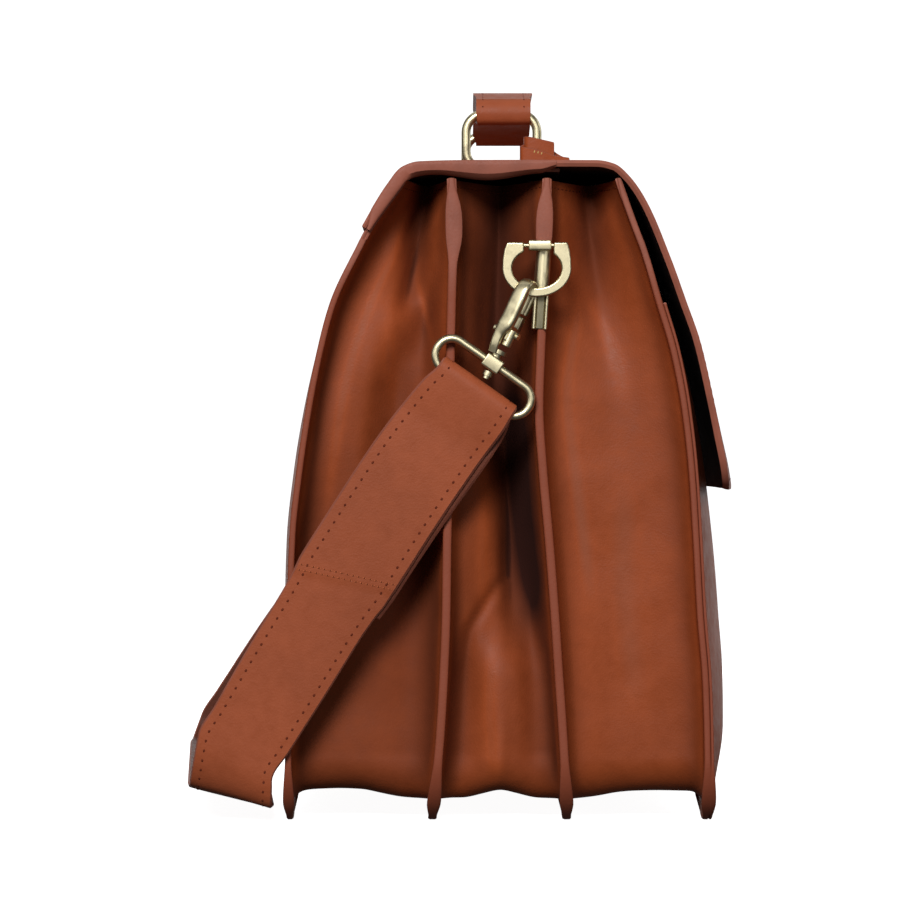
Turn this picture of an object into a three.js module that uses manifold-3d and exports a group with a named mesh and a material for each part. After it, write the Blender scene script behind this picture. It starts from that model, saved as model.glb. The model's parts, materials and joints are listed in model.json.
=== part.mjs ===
// Leather briefcase with three compartments, folded end gussets, a flap, a carrying handle
// on two rings, and a shoulder strap that is clipped to both ends and lies behind the bag.
// Millimetres, +Z up. X runs along the bag and the flap closes on the -Y side.

import * as THREE from 'three';
import { mergeVertices } from 'three/addons/utils/BufferGeometryUtils.js';
import Module from 'manifold-3d';

const wasm = await Module();
wasm.setup();

// Driving dimensions of the bag
const BAG_LENGTH = 400;
const HALF_LENGTH = BAG_LENGTH / 2;
const CORNER_RADIUS = 30;
const CORNER_STEPS = 3;
const GAP = 0.3;
const PANEL_WALL = 1.6;
const DIVIDER_WALL = 1.4;
const HEM_WALL = 3;
const HEM_TOP_WALL = 1.6;
const HEM_START = 268;
const POCKET_WALL = 1.4;
const POCKET_TOP = 237;
const GUSSET_WALL = 1.2;
const GUSSET_TOP = 291;
const GUSSET_SAG = 2.5;
const SEAM_WIDTH = 9.5;
const SEAM_TURN = 2;

// Middle planes of the four panels: Y at each height above the floor
const SECTIONS = [
  { z: 0, back: 97.2, rear: 31, front: -31, face: -95.5 },
  { z: 40, back: 97, rear: 27.2, front: -28.7, face: -95 },
  { z: 65, back: 96.6, rear: 25.7, front: -27, face: -94.2 },
  { z: 95, back: 96.2, rear: 24.5, front: -25, face: -91.8 },
  { z: 130, back: 95.2, rear: 24, front: -22.3, face: -89.9 },
  { z: 160, back: 92, rear: 23.4, front: -19.6, face: -88 },
  { z: 190, back: 87.5, rear: 22.9, front: -17.8, face: -84.6 },
  { z: 215, back: 82.6, rear: 22.5, front: -18.6, face: -79.8 },
  { z: 237, back: 76.7, rear: 22, front: -19.6, face: -73.3 },
  { z: 264, back: 63.9, rear: 21.4, front: -20.5, face: -65.2 },
  { z: 268, back: 61.9, rear: 21.4, front: -20.6, face: -63.6 },
  { z: 293, back: 44.4, rear: 22, front: -21.4, face: -54.5 },
];
const PANEL_TOP = SECTIONS.at(-1).z;
const CORNER_TOP = SECTIONS[1].z;

// How far each gusset's wall stands behind its seams, at five places from its rear seam to its
// front seam. The row at z = 0 is the strip along the bottom.
const FOLD_PLACES = { hind: 0.15, rear: 0.32, middle: 0.5, front: 0.68, fore: 0.85 };
const FOLDS = {
  gusset_rear: [
    { z: 0, hind: 3, rear: 5, middle: 6, front: 5, fore: 3 },
    { z: 40, hind: 8, rear: 11, middle: 10, front: 8, fore: 5 },
    { z: 95, hind: 13, rear: 15, middle: 14, front: 12, fore: 9 },
    { z: 130, hind: 14, rear: 15, middle: 13, front: 15, fore: 13 },
    { z: 190, hind: 14, rear: 15, middle: 14, front: 21, fore: 17 },
    { z: 215, hind: 13, rear: 16, middle: 17, front: 24, fore: 17 },
    { z: 237, hind: 11, rear: 18, middle: 22, front: 25, fore: 15 },
    { z: 264, hind: 10, rear: 20, middle: 26, front: 24, fore: 12 },
    { z: 293, hind: 10, rear: 22, middle: 29, front: 20, fore: 10 },
  ],
  gusset_middle: [
    { z: 0, hind: 3, rear: 5, middle: 6.5, front: 5, fore: 3 },
    { z: 40, hind: 11, rear: 7, middle: 5, front: 7, fore: 11 },
    { z: 65, hind: 12, rear: 8, middle: 6, front: 9, fore: 13 },
    { z: 95, hind: 10, rear: 10, middle: 12, front: 15, fore: 12 },
    { z: 130, hind: 5, rear: 10, middle: 18, front: 21, fore: 10 },
    { z: 190, hind: 7, rear: 15, middle: 25, front: 19, fore: 9 },
    { z: 237, hind: 8, rear: 18, middle: 28, front: 19, fore: 9 },
    { z: 293, hind: 9, rear: 20, middle: 30, front: 20, fore: 9 },
  ],
  gusset_front: [
    { z: 0, hind: 3, rear: 5, middle: 6, front: 5, fore: 3 },
    { z: 40, hind: 8, rear: 9, middle: 9, front: 9, fore: 7 },
    { z: 95, hind: 10, rear: 10, middle: 12, front: 12, fore: 9 },
    { z: 130, hind: 9, rear: 11, middle: 15, front: 14, fore: 9 },
    { z: 190, hind: 9, rear: 16, middle: 21, front: 17, fore: 10 },
    { z: 215, hind: 10, rear: 19, middle: 24, front: 18, fore: 10 },
    { z: 293, hind: 13, rear: 26, middle: 27, front: 15, fore: 7 },
  ],
};

// Swell of the outer walls at half length, from the floor up
const SWELL = [
  { z: 0, back: 0, face: 0, pocket: 0 },
  { z: 40, back: 3, face: -2, pocket: -12 },
  { z: 95, back: 5, face: -4, pocket: -15 },
  { z: 160, back: 5, face: -4, pocket: -13 },
  { z: 237, back: 2, face: -2, pocket: -6 },
  { z: 264, back: 0, face: -1, pocket: 0 },
  { z: 293, back: 0, face: 0, pocket: 0 },
];

// Outer line of the flap, from its seam on the back over the top to its lower front edge
const FLAP_LINE = [
  { y: 62.9, z: 272 },
  { y: 56.6, z: 283 },
  { y: 51.4, z: 291 },
  { y: 44.5, z: 299 },
  { y: 37, z: 301.4 },
  { y: 9, z: 302 },
  { y: -20, z: 302 },
  { y: -44, z: 302 },
  { y: -52, z: 300.4 },
  { y: -58.7, z: 295 },
  { y: -66.4, z: 284 },
  { y: -77.8, z: 257 },
  { y: -84.6, z: 238 },
  { y: -91, z: 220 },
  { y: -97.4, z: 193 },
  { y: -101, z: 175 },
  { y: -103.4, z: 163 },
  { y: -105.2, z: 152.5 },
];
const FLAP_TOP = 302;
const FLAP_WALL = 3;
const FLAP_SEAM_WALL = 1.4;
const FLAP_LENGTH = 404;
const FLAP_SWELL = 9;
const FLAP_CORNER = 16;
const FLAP_FRONT_START = 8;
const TURNOVER_Z = FLAP_TOP - FLAP_WALL - GAP - PANEL_WALL / 2;
const TURNOVER = [
  { y: 39.5, z: TURNOVER_Z - 2 },
  { y: 32, z: TURNOVER_Z - 0.7 },
  { y: 8, z: TURNOVER_Z },
  { y: -27, z: TURNOVER_Z },
];

// Handle
const HANDLE_Y = -2;
const HANDLE_WIDTH = 26.4;
const HANDLE_TOP = 349;
const HANDLE_UNDERSIDE = 335;
const RING_X = 68;
const RING_WIRE = 4.5;
const RING_WIDTH = 39;
const RING_LOW = 306.9;
const RING_HIGH = 334;
const RING_CORNER = 4;
const LOOP_LEATHER = 2;
const HANDLE_LOOP_BOTTOM = 316;
const TAB_TAIL = 30;
const KEY_STRIP = 10;
const KEY_WALL = 1.2;

// Strap hardware at the near end, mirrored for the far end
const HARDWARE_X = -205;
const POST_LOW = 225;
const POST_HIGH = 265;
const POST_WIDTH = 6.3;
const POST_SLOT = 5;
const POST_PLATE = 2.8;
const POST_LEGS = 7;
const BARREL_DIAMETER = 4.5;
const BARREL_LENGTH = 10.4;
const BARREL_Y = -18.1;
const BARREL_Z = 263;
const PIN_DIAMETER = 1.8;
const D_RING_Y = -16.4;
const D_RING_Z = 252.5;
const D_RING_THICK = 3;
const HOOK_LEAN = THREE.MathUtils.degToRad(19.5);
const HOOK_TURN = THREE.MathUtils.degToRad(20);
const HOOK_THICK = 4;
const SWIVEL_SIZE = 8.2;
const GATE_PIVOT = { across: 5.2, up: 18.9 };
const GATE_THICK = 3;
const CHEEK_WALL = 1;
const FLANGE = { diameter: 8.4, thick: 2, up: 6 };
const RIVET = { diameter: 4.6, thick: 3, up: -5 };
const GATE_PIN = 1.8;
const LOOP_WIRE = 3.9;
const LOOP_LENGTH = 51;
const LOOP_BARS = 15;
const LOOP_CORNER = 5.5;
const WIRE_SIDES = 8;
const WIRE_CORNER_STEPS = 3;

// Shoulder strap
const STRAP_WIDTH = 40;
const STRAP_FOLD_WIDTH = 35;
const STRAP_WALL = 2;
const STRAP_LEAN = THREE.MathUtils.degToRad(31.2);
const STRAP_BAR = { y: 9.2, z: 197.8 };
const STRAP_TURNED_BACK = 107;
const STRAP_LEG = 194;
const STRAP_LEG_LOW_X = -203;
const STRAP_BEND = 18;
const STRAP_BEND_DRIFT = 2.3;
const STRAP_BEND_TILT = THREE.MathUtils.degToRad(15);
const STRAP_FLOOR_TILT = THREE.MathUtils.degToRad(4);
const STRAP_FLOOR_Z = 3;
const STRAP_SETTLE_RUN = 80;
const NEAR_BOW = 10;
const FAR_BOW = 22;

// Plain closing plate on the flap
const CLASP_WIDTH = 36;
const CLASP_HEIGHT = 26;
const CLASP_THICK = 3;

// Colours
const LEATHER = { color: 0x8f4526, roughness: 0.5, metalness: 0 };
const STRAP_LEATHER = { color: 0x97502f, roughness: 0.55, metalness: 0 };
const BRASS = { color: 0xa8996a, roughness: 0.35, metalness: 1 };

const AXIS_X = new THREE.Vector3(1, 0, 0);
const AXIS_Y = new THREE.Vector3(0, 1, 0);
const AXIS_Z = new THREE.Vector3(0, 0, 1);
const briefcase = new THREE.Group();

function addPiece(name, geometry, look) {
  const mesh = new THREE.Mesh(geometry, new THREE.MeshStandardMaterial(look));
  mesh.name = name;
  briefcase.add(mesh);
}

// Value of one column of a table at a height, on straight lines between its rows
function readTable(table, z, column) {
  const height = THREE.MathUtils.clamp(z, table[0].z, table.at(-1).z);
  const upper = Math.max(1, table.findIndex((row) => row.z >= height));
  const [low, high] = [table[upper - 1], table[upper]];
  return THREE.MathUtils.mapLinear(height, low.z, high.z, low[column], high[column]);
}

// Length along Y of one millimetre measured square to a panel that leans
function leanFactor(column, z) {
  const reach = 6;
  const slope = (readTable(SECTIONS, z + reach, column) - readTable(SECTIONS, z - reach, column)) / (2 * reach);
  return Math.hypot(1, slope);
}

// Closed wall around a grid of points on its middle surface. The first row can be kept level,
// so that the wall stands on a flat lower edge.
function wallGeometry(rows, thicknessAt, levelStart = false) {
  const rowCount = rows.length;
  const width = rows[0].length;
  const positions = [];
  for (const side of [0.5, -0.5]) {
    rows.forEach((row, i) => row.forEach((point, j) => {
      const along = rows[Math.min(i + 1, rowCount - 1)][j].clone().sub(rows[Math.max(i - 1, 0)][j]);
      const across = row[Math.min(j + 1, width - 1)].clone().sub(row[Math.max(j - 1, 0)]);
      const normal = along.cross(across);
      if (levelStart && i === 0) normal.setZ(0);
      normal.normalize();
      positions.push(...point.clone().addScaledVector(normal, side * thicknessAt(i, j)).toArray());
    }));
  }
  const outer = (i, j) => i * width + j;
  const inner = (i, j) => rowCount * width + i * width + j;
  const indices = [];
  const quad = (a, b, c, d) => indices.push(a, b, c, a, c, d);
  for (let i = 0; i < rowCount - 1; i += 1) {
    for (let j = 0; j < width - 1; j += 1) {
      quad(outer(i, j), outer(i + 1, j), outer(i + 1, j + 1), outer(i, j + 1));
      quad(inner(i, j), inner(i, j + 1), inner(i + 1, j + 1), inner(i + 1, j));
    }
  }
  for (let i = 0; i < rowCount - 1; i += 1) {
    const last = width - 1;
    quad(outer(i + 1, 0), outer(i, 0), inner(i, 0), inner(i + 1, 0));
    quad(outer(i, last), outer(i + 1, last), inner(i + 1, last), inner(i, last));
  }
  for (let j = 0; j < width - 1; j += 1) {
    const last = rowCount - 1;
    quad(outer(last, j + 1), outer(last, j), inner(last, j), inner(last, j + 1));
    quad(outer(0, j), outer(0, j + 1), inner(0, j + 1), inner(0, j));
  }
  const geometry = new THREE.BufferGeometry();
  geometry.setAttribute('position', new THREE.Float32BufferAttribute(positions, 3));
  geometry.setIndex(indices);
  return geometry;
}

function toSolid(geometry) {
  const plain = geometry.clone();
  plain.deleteAttribute('normal');
  plain.deleteAttribute('uv');
  const merged = mergeVertices(plain, 1e-4);
  return new wasm.Manifold(new wasm.Mesh({
    numProp: 3,
    vertProperties: new Float32Array(merged.attributes.position.array),
    triVerts: new Uint32Array(merged.index.array),
  }));
}

function toGeometry(solid) {
  const mesh = solid.getMesh();
  const geometry = new THREE.BufferGeometry();
  geometry.setAttribute('position', new THREE.BufferAttribute(mesh.vertProperties, 3));
  geometry.setIndex(new THREE.BufferAttribute(mesh.triVerts, 1));
  return geometry;
}

function joined(first, ...others) {
  return others.reduce((whole, geometry) => whole.add(toSolid(geometry)), toSolid(first));
}

// The same piece at the other end of the bag
function mirrored(geometry) {
  const copy = mergeVertices(geometry.clone().deleteAttribute('normal').deleteAttribute('uv'), 1e-4);
  const position = copy.attributes.position;
  const index = copy.index;
  for (let i = 0; i < position.count; i += 1) position.setX(i, -position.getX(i));
  for (let i = 0; i < index.count; i += 3) {
    const kept = index.getX(i + 1);
    index.setX(i + 1, index.getX(i + 2));
    index.setX(i + 2, kept);
  }
  return copy;
}

function addPair(name, geometry, look) {
  addPiece(`${name}_near`, geometry, look);
  addPiece(`${name}_far`, mirrored(geometry), look);
}

// Flat outline pushed out evenly to both sides of its plane and set in a frame of three axes
function plate(shape, thickness, right, up, origin, curveSegments = 6) {
  const normal = right.clone().cross(up);
  const geometry = new THREE.ExtrudeGeometry(shape, { depth: thickness, bevelEnabled: false, curveSegments });
  geometry.translate(0, 0, -thickness / 2);
  geometry.applyMatrix4(new THREE.Matrix4().makeBasis(right, up, normal).setPosition(origin));
  return geometry;
}

function outline(points) {
  return new THREE.Shape(points.map(([x, y]) => new THREE.Vector2(x, y)));
}

function roundRod(diameter, length, direction, centre, sides = 10) {
  const rod = new THREE.CylinderGeometry(diameter / 2, diameter / 2, length, sides);
  rod.applyQuaternion(new THREE.Quaternion().setFromUnitVectors(AXIS_Y, direction));
  return rod.translate(centre.x, centre.y, centre.z);
}

// Round wire bent to a closed rectangle with round corners: a ring of points at each bend station
function wireLoop(wire, width, height, corner, right, up, centre) {
  const stations = [];
  for (const [quarter, sx, sy] of [[0, 1, 1], [1, -1, 1], [2, -1, -1], [3, 1, -1]]) {
    for (let k = 0; k <= WIRE_CORNER_STEPS; k += 1) {
      const angle = (Math.PI / 2) * (quarter + k / WIRE_CORNER_STEPS);
      const out = right.clone().multiplyScalar(Math.cos(angle)).addScaledVector(up, Math.sin(angle));
      const bend = centre.clone()
        .addScaledVector(right, sx * (width / 2 - corner))
        .addScaledVector(up, sy * (height / 2 - corner));
      stations.push({ out, point: bend.addScaledVector(out, corner) });
    }
  }
  const normal = right.clone().cross(up);
  const positions = [];
  for (const { out, point } of stations) {
    for (let k = 0; k < WIRE_SIDES; k += 1) {
      const angle = (2 * Math.PI * (k + 0.5)) / WIRE_SIDES;
      const rim = point.clone()
        .addScaledVector(out, (wire / 2) * Math.cos(angle))
        .addScaledVector(normal, (wire / 2) * Math.sin(angle));
      positions.push(...rim.toArray());
    }
  }
  const indices = [];
  const at = (i, k) => (i % stations.length) * WIRE_SIDES + (k % WIRE_SIDES);
  for (let i = 0; i < stations.length; i += 1) {
    for (let k = 0; k < WIRE_SIDES; k += 1) {
      indices.push(at(i, k), at(i + 1, k), at(i + 1, k + 1), at(i, k), at(i + 1, k + 1), at(i, k + 1));
    }
  }
  const geometry = new THREE.BufferGeometry();
  geometry.setAttribute('position', new THREE.Float32BufferAttribute(positions, 3));
  geometry.setIndex(indices);
  return geometry;
}

// Panels: a grid along X that follows the rounded lower corners, and up the sections' heights
const cornerColumns = Array.from({ length: CORNER_STEPS + 1 }, (_, k) => {
  const angle = (Math.PI / 2) * (k / CORNER_STEPS);
  return HALF_LENGTH - CORNER_RADIUS * (1 - Math.cos(angle));
});
const straightColumns = [120, 60, 0, -60, -120];

function columnsAlong(middleColumns) {
  const right = cornerColumns;
  const left = cornerColumns.map((x) => -x).reverse();
  return [...right, ...middleColumns, ...left].reverse();
}

function lowerEdge(x) {
  const into = Math.max(0, Math.abs(x) - (HALF_LENGTH - CORNER_RADIUS));
  return CORNER_RADIUS - Math.sqrt(CORNER_RADIUS ** 2 - into ** 2);
}

function swellAt(column, x, z) {
  const share = Math.min(1, Math.abs(x) / (HALF_LENGTH - SEAM_WIDTH - SEAM_TURN));
  return readTable(SWELL, z, column) * (1 - share ** 4);
}

function panelRows(columns, top, middleAt) {
  const heights = SECTIONS.map((row) => row.z).filter((z) => z >= CORNER_TOP && z < top);
  const cornerRows = [0, 0.5].map((share) => columns.map((x) => (
    THREE.MathUtils.lerp(lowerEdge(x), CORNER_TOP, share))));
  const levelRows = [...heights, top].map((z) => columns.map(() => z));
  return [...cornerRows, ...levelRows].map((row) => row.map((z, j) => (
    new THREE.Vector3(columns[j], middleAt(columns[j], z), z))));
}

function pocketMiddle(x, z) {
  const spacing = PANEL_WALL / 2 + GAP + POCKET_WALL / 2;
  return readTable(SECTIONS, z, 'face') - spacing * leanFactor('face', z) + swellAt('pocket', x, z);
}

// A divider is thickest at the foot of its hem and thins towards its top edge
function dividerWall(z) {
  if (z < HEM_START) return DIVIDER_WALL;
  return THREE.MathUtils.mapLinear(z, HEM_START, PANEL_TOP, HEM_WALL, HEM_TOP_WALL);
}

const curvedColumns = columnsAlong(straightColumns);
const flatColumns = columnsAlong([]);

const backRows = panelRows(curvedColumns, PANEL_TOP, (x, z) => (
  readTable(SECTIONS, z, 'back') + swellAt('back', x, z)));
for (const { y, z } of TURNOVER) backRows.push(curvedColumns.map((x) => new THREE.Vector3(x, y, z)));
addPiece('back_panel', wallGeometry(backRows, () => PANEL_WALL, true), LEATHER);

for (const column of ['rear', 'front']) {
  const rows = panelRows(flatColumns, PANEL_TOP, (x, z) => readTable(SECTIONS, z, column));
  addPiece(`divider_${column}`, wallGeometry(rows, (i) => dividerWall(rows[i][0].z), true), LEATHER);
}

const faceRows = panelRows(curvedColumns, PANEL_TOP, (x, z) => (
  readTable(SECTIONS, z, 'face') + swellAt('face', x, z)));
addPiece('front_panel', wallGeometry(faceRows, () => PANEL_WALL, true), LEATHER);
const pocketRows = panelRows(curvedColumns, POCKET_TOP, pocketMiddle);
addPiece('front_pocket', wallGeometry(pocketRows, () => POCKET_WALL, true), LEATHER);

// Gussets: one folded section carried down the near end, along the bottom and up the far end
function gussetStations() {
  const side = SECTIONS.map((row) => row.z).filter((z) => z >= CORNER_TOP).reverse();
  const down = side.map((z) => ({ x: -HALF_LENGTH, z: Math.min(z, GUSSET_TOP), outX: -1, outZ: 0, foldZ: z }));
  const corner = Array.from({ length: CORNER_STEPS + 1 }, (_, k) => {
    const share = k / CORNER_STEPS;
    const angle = share * (Math.PI / 2);
    const [outX, outZ] = [-Math.cos(angle), -Math.sin(angle)];
    return {
      x: -HALF_LENGTH + CORNER_RADIUS * (1 + outX),
      z: CORNER_RADIUS * (1 + outZ),
      outX,
      outZ,
      foldZ: CORNER_TOP * 0.9 * (1 - share),
    };
  });
  const half = [...down, ...corner, { x: -90, z: 0, outX: 0, outZ: -1, foldZ: 0 }];
  const otherHalf = half.map((station) => ({ ...station, x: -station.x, outX: -station.outX })).reverse();
  return [...half, { x: 0, z: 0, outX: 0, outZ: -1, foldZ: 0 }, ...otherHalf];
}

function gussetRows(folds, rearWall, frontWall) {
  const seam = (side, panel, z) => {
    const spacing = panel.half(z) + GAP + GUSSET_WALL / 2;
    return readTable(SECTIONS, z, panel.column) + side * spacing * leanFactor(panel.column, z);
  };
  return gussetStations().map((station, i, all) => {
    const isTop = i === 0 || i === all.length - 1;
    const point = (share, depth) => {
      const sag = isTop ? GUSSET_SAG * 4 * share * (1 - share) : 0;
      const z = station.z - station.outZ * depth - sag;
      const y = THREE.MathUtils.lerp(seam(-1, rearWall, z), seam(1, frontWall, z), share);
      return new THREE.Vector3(station.x - station.outX * depth, y, z);
    };
    const turn = SEAM_TURN / Math.abs(seam(-1, rearWall, station.z) - seam(1, frontWall, station.z));
    const wall = Object.entries(FOLD_PLACES).map(([column, share]) => (
      point(share, SEAM_WIDTH + readTable(folds, station.foldZ, column))));
    return [
      point(0, GAP),
      point(0, SEAM_WIDTH - SEAM_TURN),
      point(turn, SEAM_WIDTH),
      ...wall,
      point(1 - turn, SEAM_WIDTH),
      point(1, SEAM_WIDTH - SEAM_TURN),
      point(1, GAP),
    ];
  });
}

const BACK = { column: 'back', half: () => PANEL_WALL / 2 };
const REAR = { column: 'rear', half: (z) => dividerWall(z) / 2 };
const FRONT = { column: 'front', half: (z) => dividerWall(z) / 2 };
const FACE = { column: 'face', half: () => PANEL_WALL / 2 };
const gussetWalls = { gusset_rear: [BACK, REAR], gusset_middle: [REAR, FRONT], gusset_front: [FRONT, FACE] };
for (const [name, [rearWall, frontWall]] of Object.entries(gussetWalls)) {
  const rows = gussetRows(FOLDS[name], rearWall, frontWall);
  addPiece(name, wallGeometry(rows, () => GUSSET_WALL), LEATHER);
}

// Flap: its outer line moved in by half the wall, swelling over the pocket along its front
function flapWall(i) {
  return i < 2 ? FLAP_SEAM_WALL : FLAP_WALL;
}

function flapMiddle(i) {
  const before = FLAP_LINE[Math.max(i - 1, 0)];
  const after = FLAP_LINE[Math.min(i + 1, FLAP_LINE.length - 1)];
  const run = new THREE.Vector2(after.y - before.y, after.z - before.z).normalize();
  const inward = new THREE.Vector2(-run.y, run.x);
  const half = flapWall(i) / 2;
  return { y: FLAP_LINE[i].y + inward.x * half, z: FLAP_LINE[i].z + inward.y * half };
}

function flapPoint(i, share) {
  const edge = FLAP_LINE.at(-1);
  const { y, z } = flapMiddle(i);
  const toEdge = Math.hypot(FLAP_LINE[i].y - edge.y, FLAP_LINE[i].z - edge.z);
  const into = Math.max(0, FLAP_CORNER - toEdge);
  const cut = i > FLAP_FRONT_START ? FLAP_CORNER - Math.sqrt(FLAP_CORNER ** 2 - into ** 2) : 0;
  const down = Math.max(0, i - FLAP_FRONT_START) / (FLAP_LINE.length - 1 - FLAP_FRONT_START);
  const swell = FLAP_SWELL * down * (1 - share ** 2);
  return new THREE.Vector3(share * (FLAP_LENGTH / 2 - cut), y - swell, z);
}

const flapShares = [-1, -0.75, -0.4, 0, 0.4, 0.75, 1];
const flapRows = FLAP_LINE.map((_, i) => flapShares.map((share) => flapPoint(i, share)));
addPiece('flap', wallGeometry(flapRows, flapWall), LEATHER);

// Closing plate, square to the flap's front near its lower edge
const claspSeat = flapPoint(FLAP_LINE.length - 3, 0);
const claspUp = flapPoint(FLAP_LINE.length - 4, 0).sub(flapPoint(FLAP_LINE.length - 2, 0)).normalize();
const claspOut = AXIS_X.clone().cross(claspUp);
const claspCentre = claspSeat.addScaledVector(claspOut, FLAP_WALL / 2 + CLASP_THICK / 2 + GAP);
const claspOutline = outline([[-0.5, -0.38], [-0.38, -0.5], [0.38, -0.5], [0.5, -0.38], [0.5, 0.5], [-0.5, 0.5]]
  .map(([x, y]) => [x * CLASP_WIDTH, y * CLASP_HEIGHT]));
addPiece('flap_clasp', plate(claspOutline, CLASP_THICK, AXIS_X, claspUp, claspCentre), BRASS);

// Handle: an arched grip whose end loops hang on the rings' upper bars
const ringBore = RING_WIRE / 2 + GAP;
const loopHalf = ringBore + LOOP_LEATHER;
const gripEnd = RING_X - loopHalf;
const arch = (x, middle, end) => middle - (middle - end) * (x / gripEnd) ** 2;
const gripStations = [-1, -0.75, -0.5, -0.25, 0, 0.25, 0.5, 0.75, 1].map((share) => share * gripEnd);
const loopTop = RING_HIGH + loopHalf;
const gripEndTop = loopTop - 1;
const gripEndLow = HANDLE_LOOP_BOTTOM + 5;
const gripOutline = outline([
  ...gripStations.map((x) => [x, arch(x, HANDLE_TOP, gripEndTop)]),
  [RING_X, loopTop],
  [RING_X + loopHalf * 0.7, loopTop - loopHalf * 0.3],
  [RING_X + loopHalf, loopTop - loopHalf],
  [RING_X + loopHalf, HANDLE_LOOP_BOTTOM + 3],
  [RING_X + loopHalf * 0.6, HANDLE_LOOP_BOTTOM],
  [RING_X - loopHalf * 0.6, HANDLE_LOOP_BOTTOM],
  ...gripStations.toReversed().map((x) => [x, arch(x, HANDLE_UNDERSIDE, gripEndLow)]),
  [-RING_X + loopHalf * 0.6, HANDLE_LOOP_BOTTOM],
  [-RING_X - loopHalf * 0.6, HANDLE_LOOP_BOTTOM],
  [-RING_X - loopHalf, HANDLE_LOOP_BOTTOM + 3],
  [-RING_X - loopHalf, loopTop - loopHalf],
  [-RING_X - loopHalf * 0.7, loopTop - loopHalf * 0.3],
  [-RING_X, loopTop],
]);
for (const side of [-1, 1]) {
  const slot = new THREE.Path();
  slot.absarc(side * RING_X, RING_HIGH, ringBore, 0, Math.PI, false);
  slot.absarc(side * RING_X, HANDLE_LOOP_BOTTOM + LOOP_LEATHER + ringBore, ringBore, Math.PI, 2 * Math.PI, false);
  gripOutline.holes.push(slot);
}
const handleOrigin = new THREE.Vector3(0, HANDLE_Y, 0);
addPiece('handle', plate(gripOutline, HANDLE_WIDTH, AXIS_X, AXIS_Z, handleOrigin), STRAP_LEATHER);

const ringCentre = new THREE.Vector3(-RING_X, HANDLE_Y, (RING_LOW + RING_HIGH) / 2);
addPair('handle_ring', wireLoop(
  RING_WIRE, RING_WIDTH - RING_WIRE, RING_HIGH - RING_LOW, RING_CORNER, AXIS_Y, AXIS_Z, ringCentre), BRASS);

// Tabs: doubled leather tails on the flap, wrapped round the rings' lower bars
const tabBottom = FLAP_TOP + GAP;
const tabHalf = RING_LOW - tabBottom;
const tabOutline = new THREE.Shape();
tabOutline.absarc(-RING_X, RING_LOW, tabHalf, Math.PI / 3, Math.PI * 1.5, false);
tabOutline.lineTo(-RING_X + TAB_TAIL, tabBottom);
tabOutline.lineTo(-RING_X + TAB_TAIL, tabBottom + 2 * LOOP_LEATHER);
tabOutline.lineTo(-RING_X + tabHalf + 2, tabBottom + 2 * LOOP_LEATHER);
const tabBore = new THREE.Path();
tabBore.absarc(-RING_X, RING_LOW, ringBore, 0, 2 * Math.PI, false);
tabOutline.holes.push(tabBore);
addPair('handle_tab', plate(tabOutline, HANDLE_WIDTH, AXIS_X, AXIS_Z, handleOrigin, 8), LEATHER);

// Key loop: a strip that passes round the front leg of the near ring, its ends drooping forward
const keyLegY = HANDLE_Y - (RING_WIDTH - RING_WIRE) / 2;
const keyTurn = RING_WIRE / 2 + GAP + KEY_WALL / 2;
const keyPath = [
  { x: 1.1, y: -17, z: 309 },
  { x: 1.2, y: -11, z: 313 },
  { x: keyTurn, y: -2.5, z: 317 },
  ...[0, 1, 2, 3, 4].map((k) => ({
    x: keyTurn * Math.cos((Math.PI / 4) * k), y: keyTurn * Math.sin((Math.PI / 4) * k), z: 318,
  })),
  { x: -keyTurn, y: -2.5, z: 317 },
  { x: -1.2, y: -11, z: 313 },
  { x: -1.1, y: -17, z: 309 },
];
const keyRows = keyPath.map(({ x, y, z }) => [-0.5, 0.5].map((side) => (
  new THREE.Vector3(-RING_X + x, keyLegY + y, z + side * KEY_STRIP))));
addPiece('key_loop', wallGeometry(keyRows, () => KEY_WALL), LEATHER);

// Post: a channel over the front divider's edge, with a barrel at its top for the ring's pin
const postLine = (z) => readTable(SECTIONS, z, 'front');
const postUp = new THREE.Vector3(0, postLine(POST_HIGH) - postLine(POST_LOW), POST_HIGH - POST_LOW).normalize();
const postAcross = postUp.clone().cross(AXIS_X);
const postCentre = new THREE.Vector3(
  -HALF_LENGTH - GAP, (postLine(POST_LOW) + postLine(POST_HIGH)) / 2, (POST_LOW + POST_HIGH) / 2);
const [outerHalf, slotHalf] = [POST_WIDTH / 2, POST_SLOT / 2];
const channel = outline([
  [-POST_PLATE, -outerHalf], [POST_LEGS, -outerHalf], [POST_LEGS, -slotHalf], [0, -slotHalf],
  [0, slotHalf], [POST_LEGS, slotHalf], [POST_LEGS, outerHalf], [-POST_PLATE, outerHalf],
]);
const barrelCentre = new THREE.Vector3(HARDWARE_X, BARREL_Y, BARREL_Z);
const post = joined(
  plate(channel, POST_HIGH - POST_LOW, AXIS_X, postAcross, postCentre),
  roundRod(BARREL_DIAMETER, BARREL_LENGTH, AXIS_Y, barrelCentre),
).subtract(toSolid(roundRod(PIN_DIAMETER + 2 * GAP, BARREL_LENGTH * 2, AXIS_Y, barrelCentre)));
addPair('strap_post', toGeometry(post), BRASS);

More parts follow.
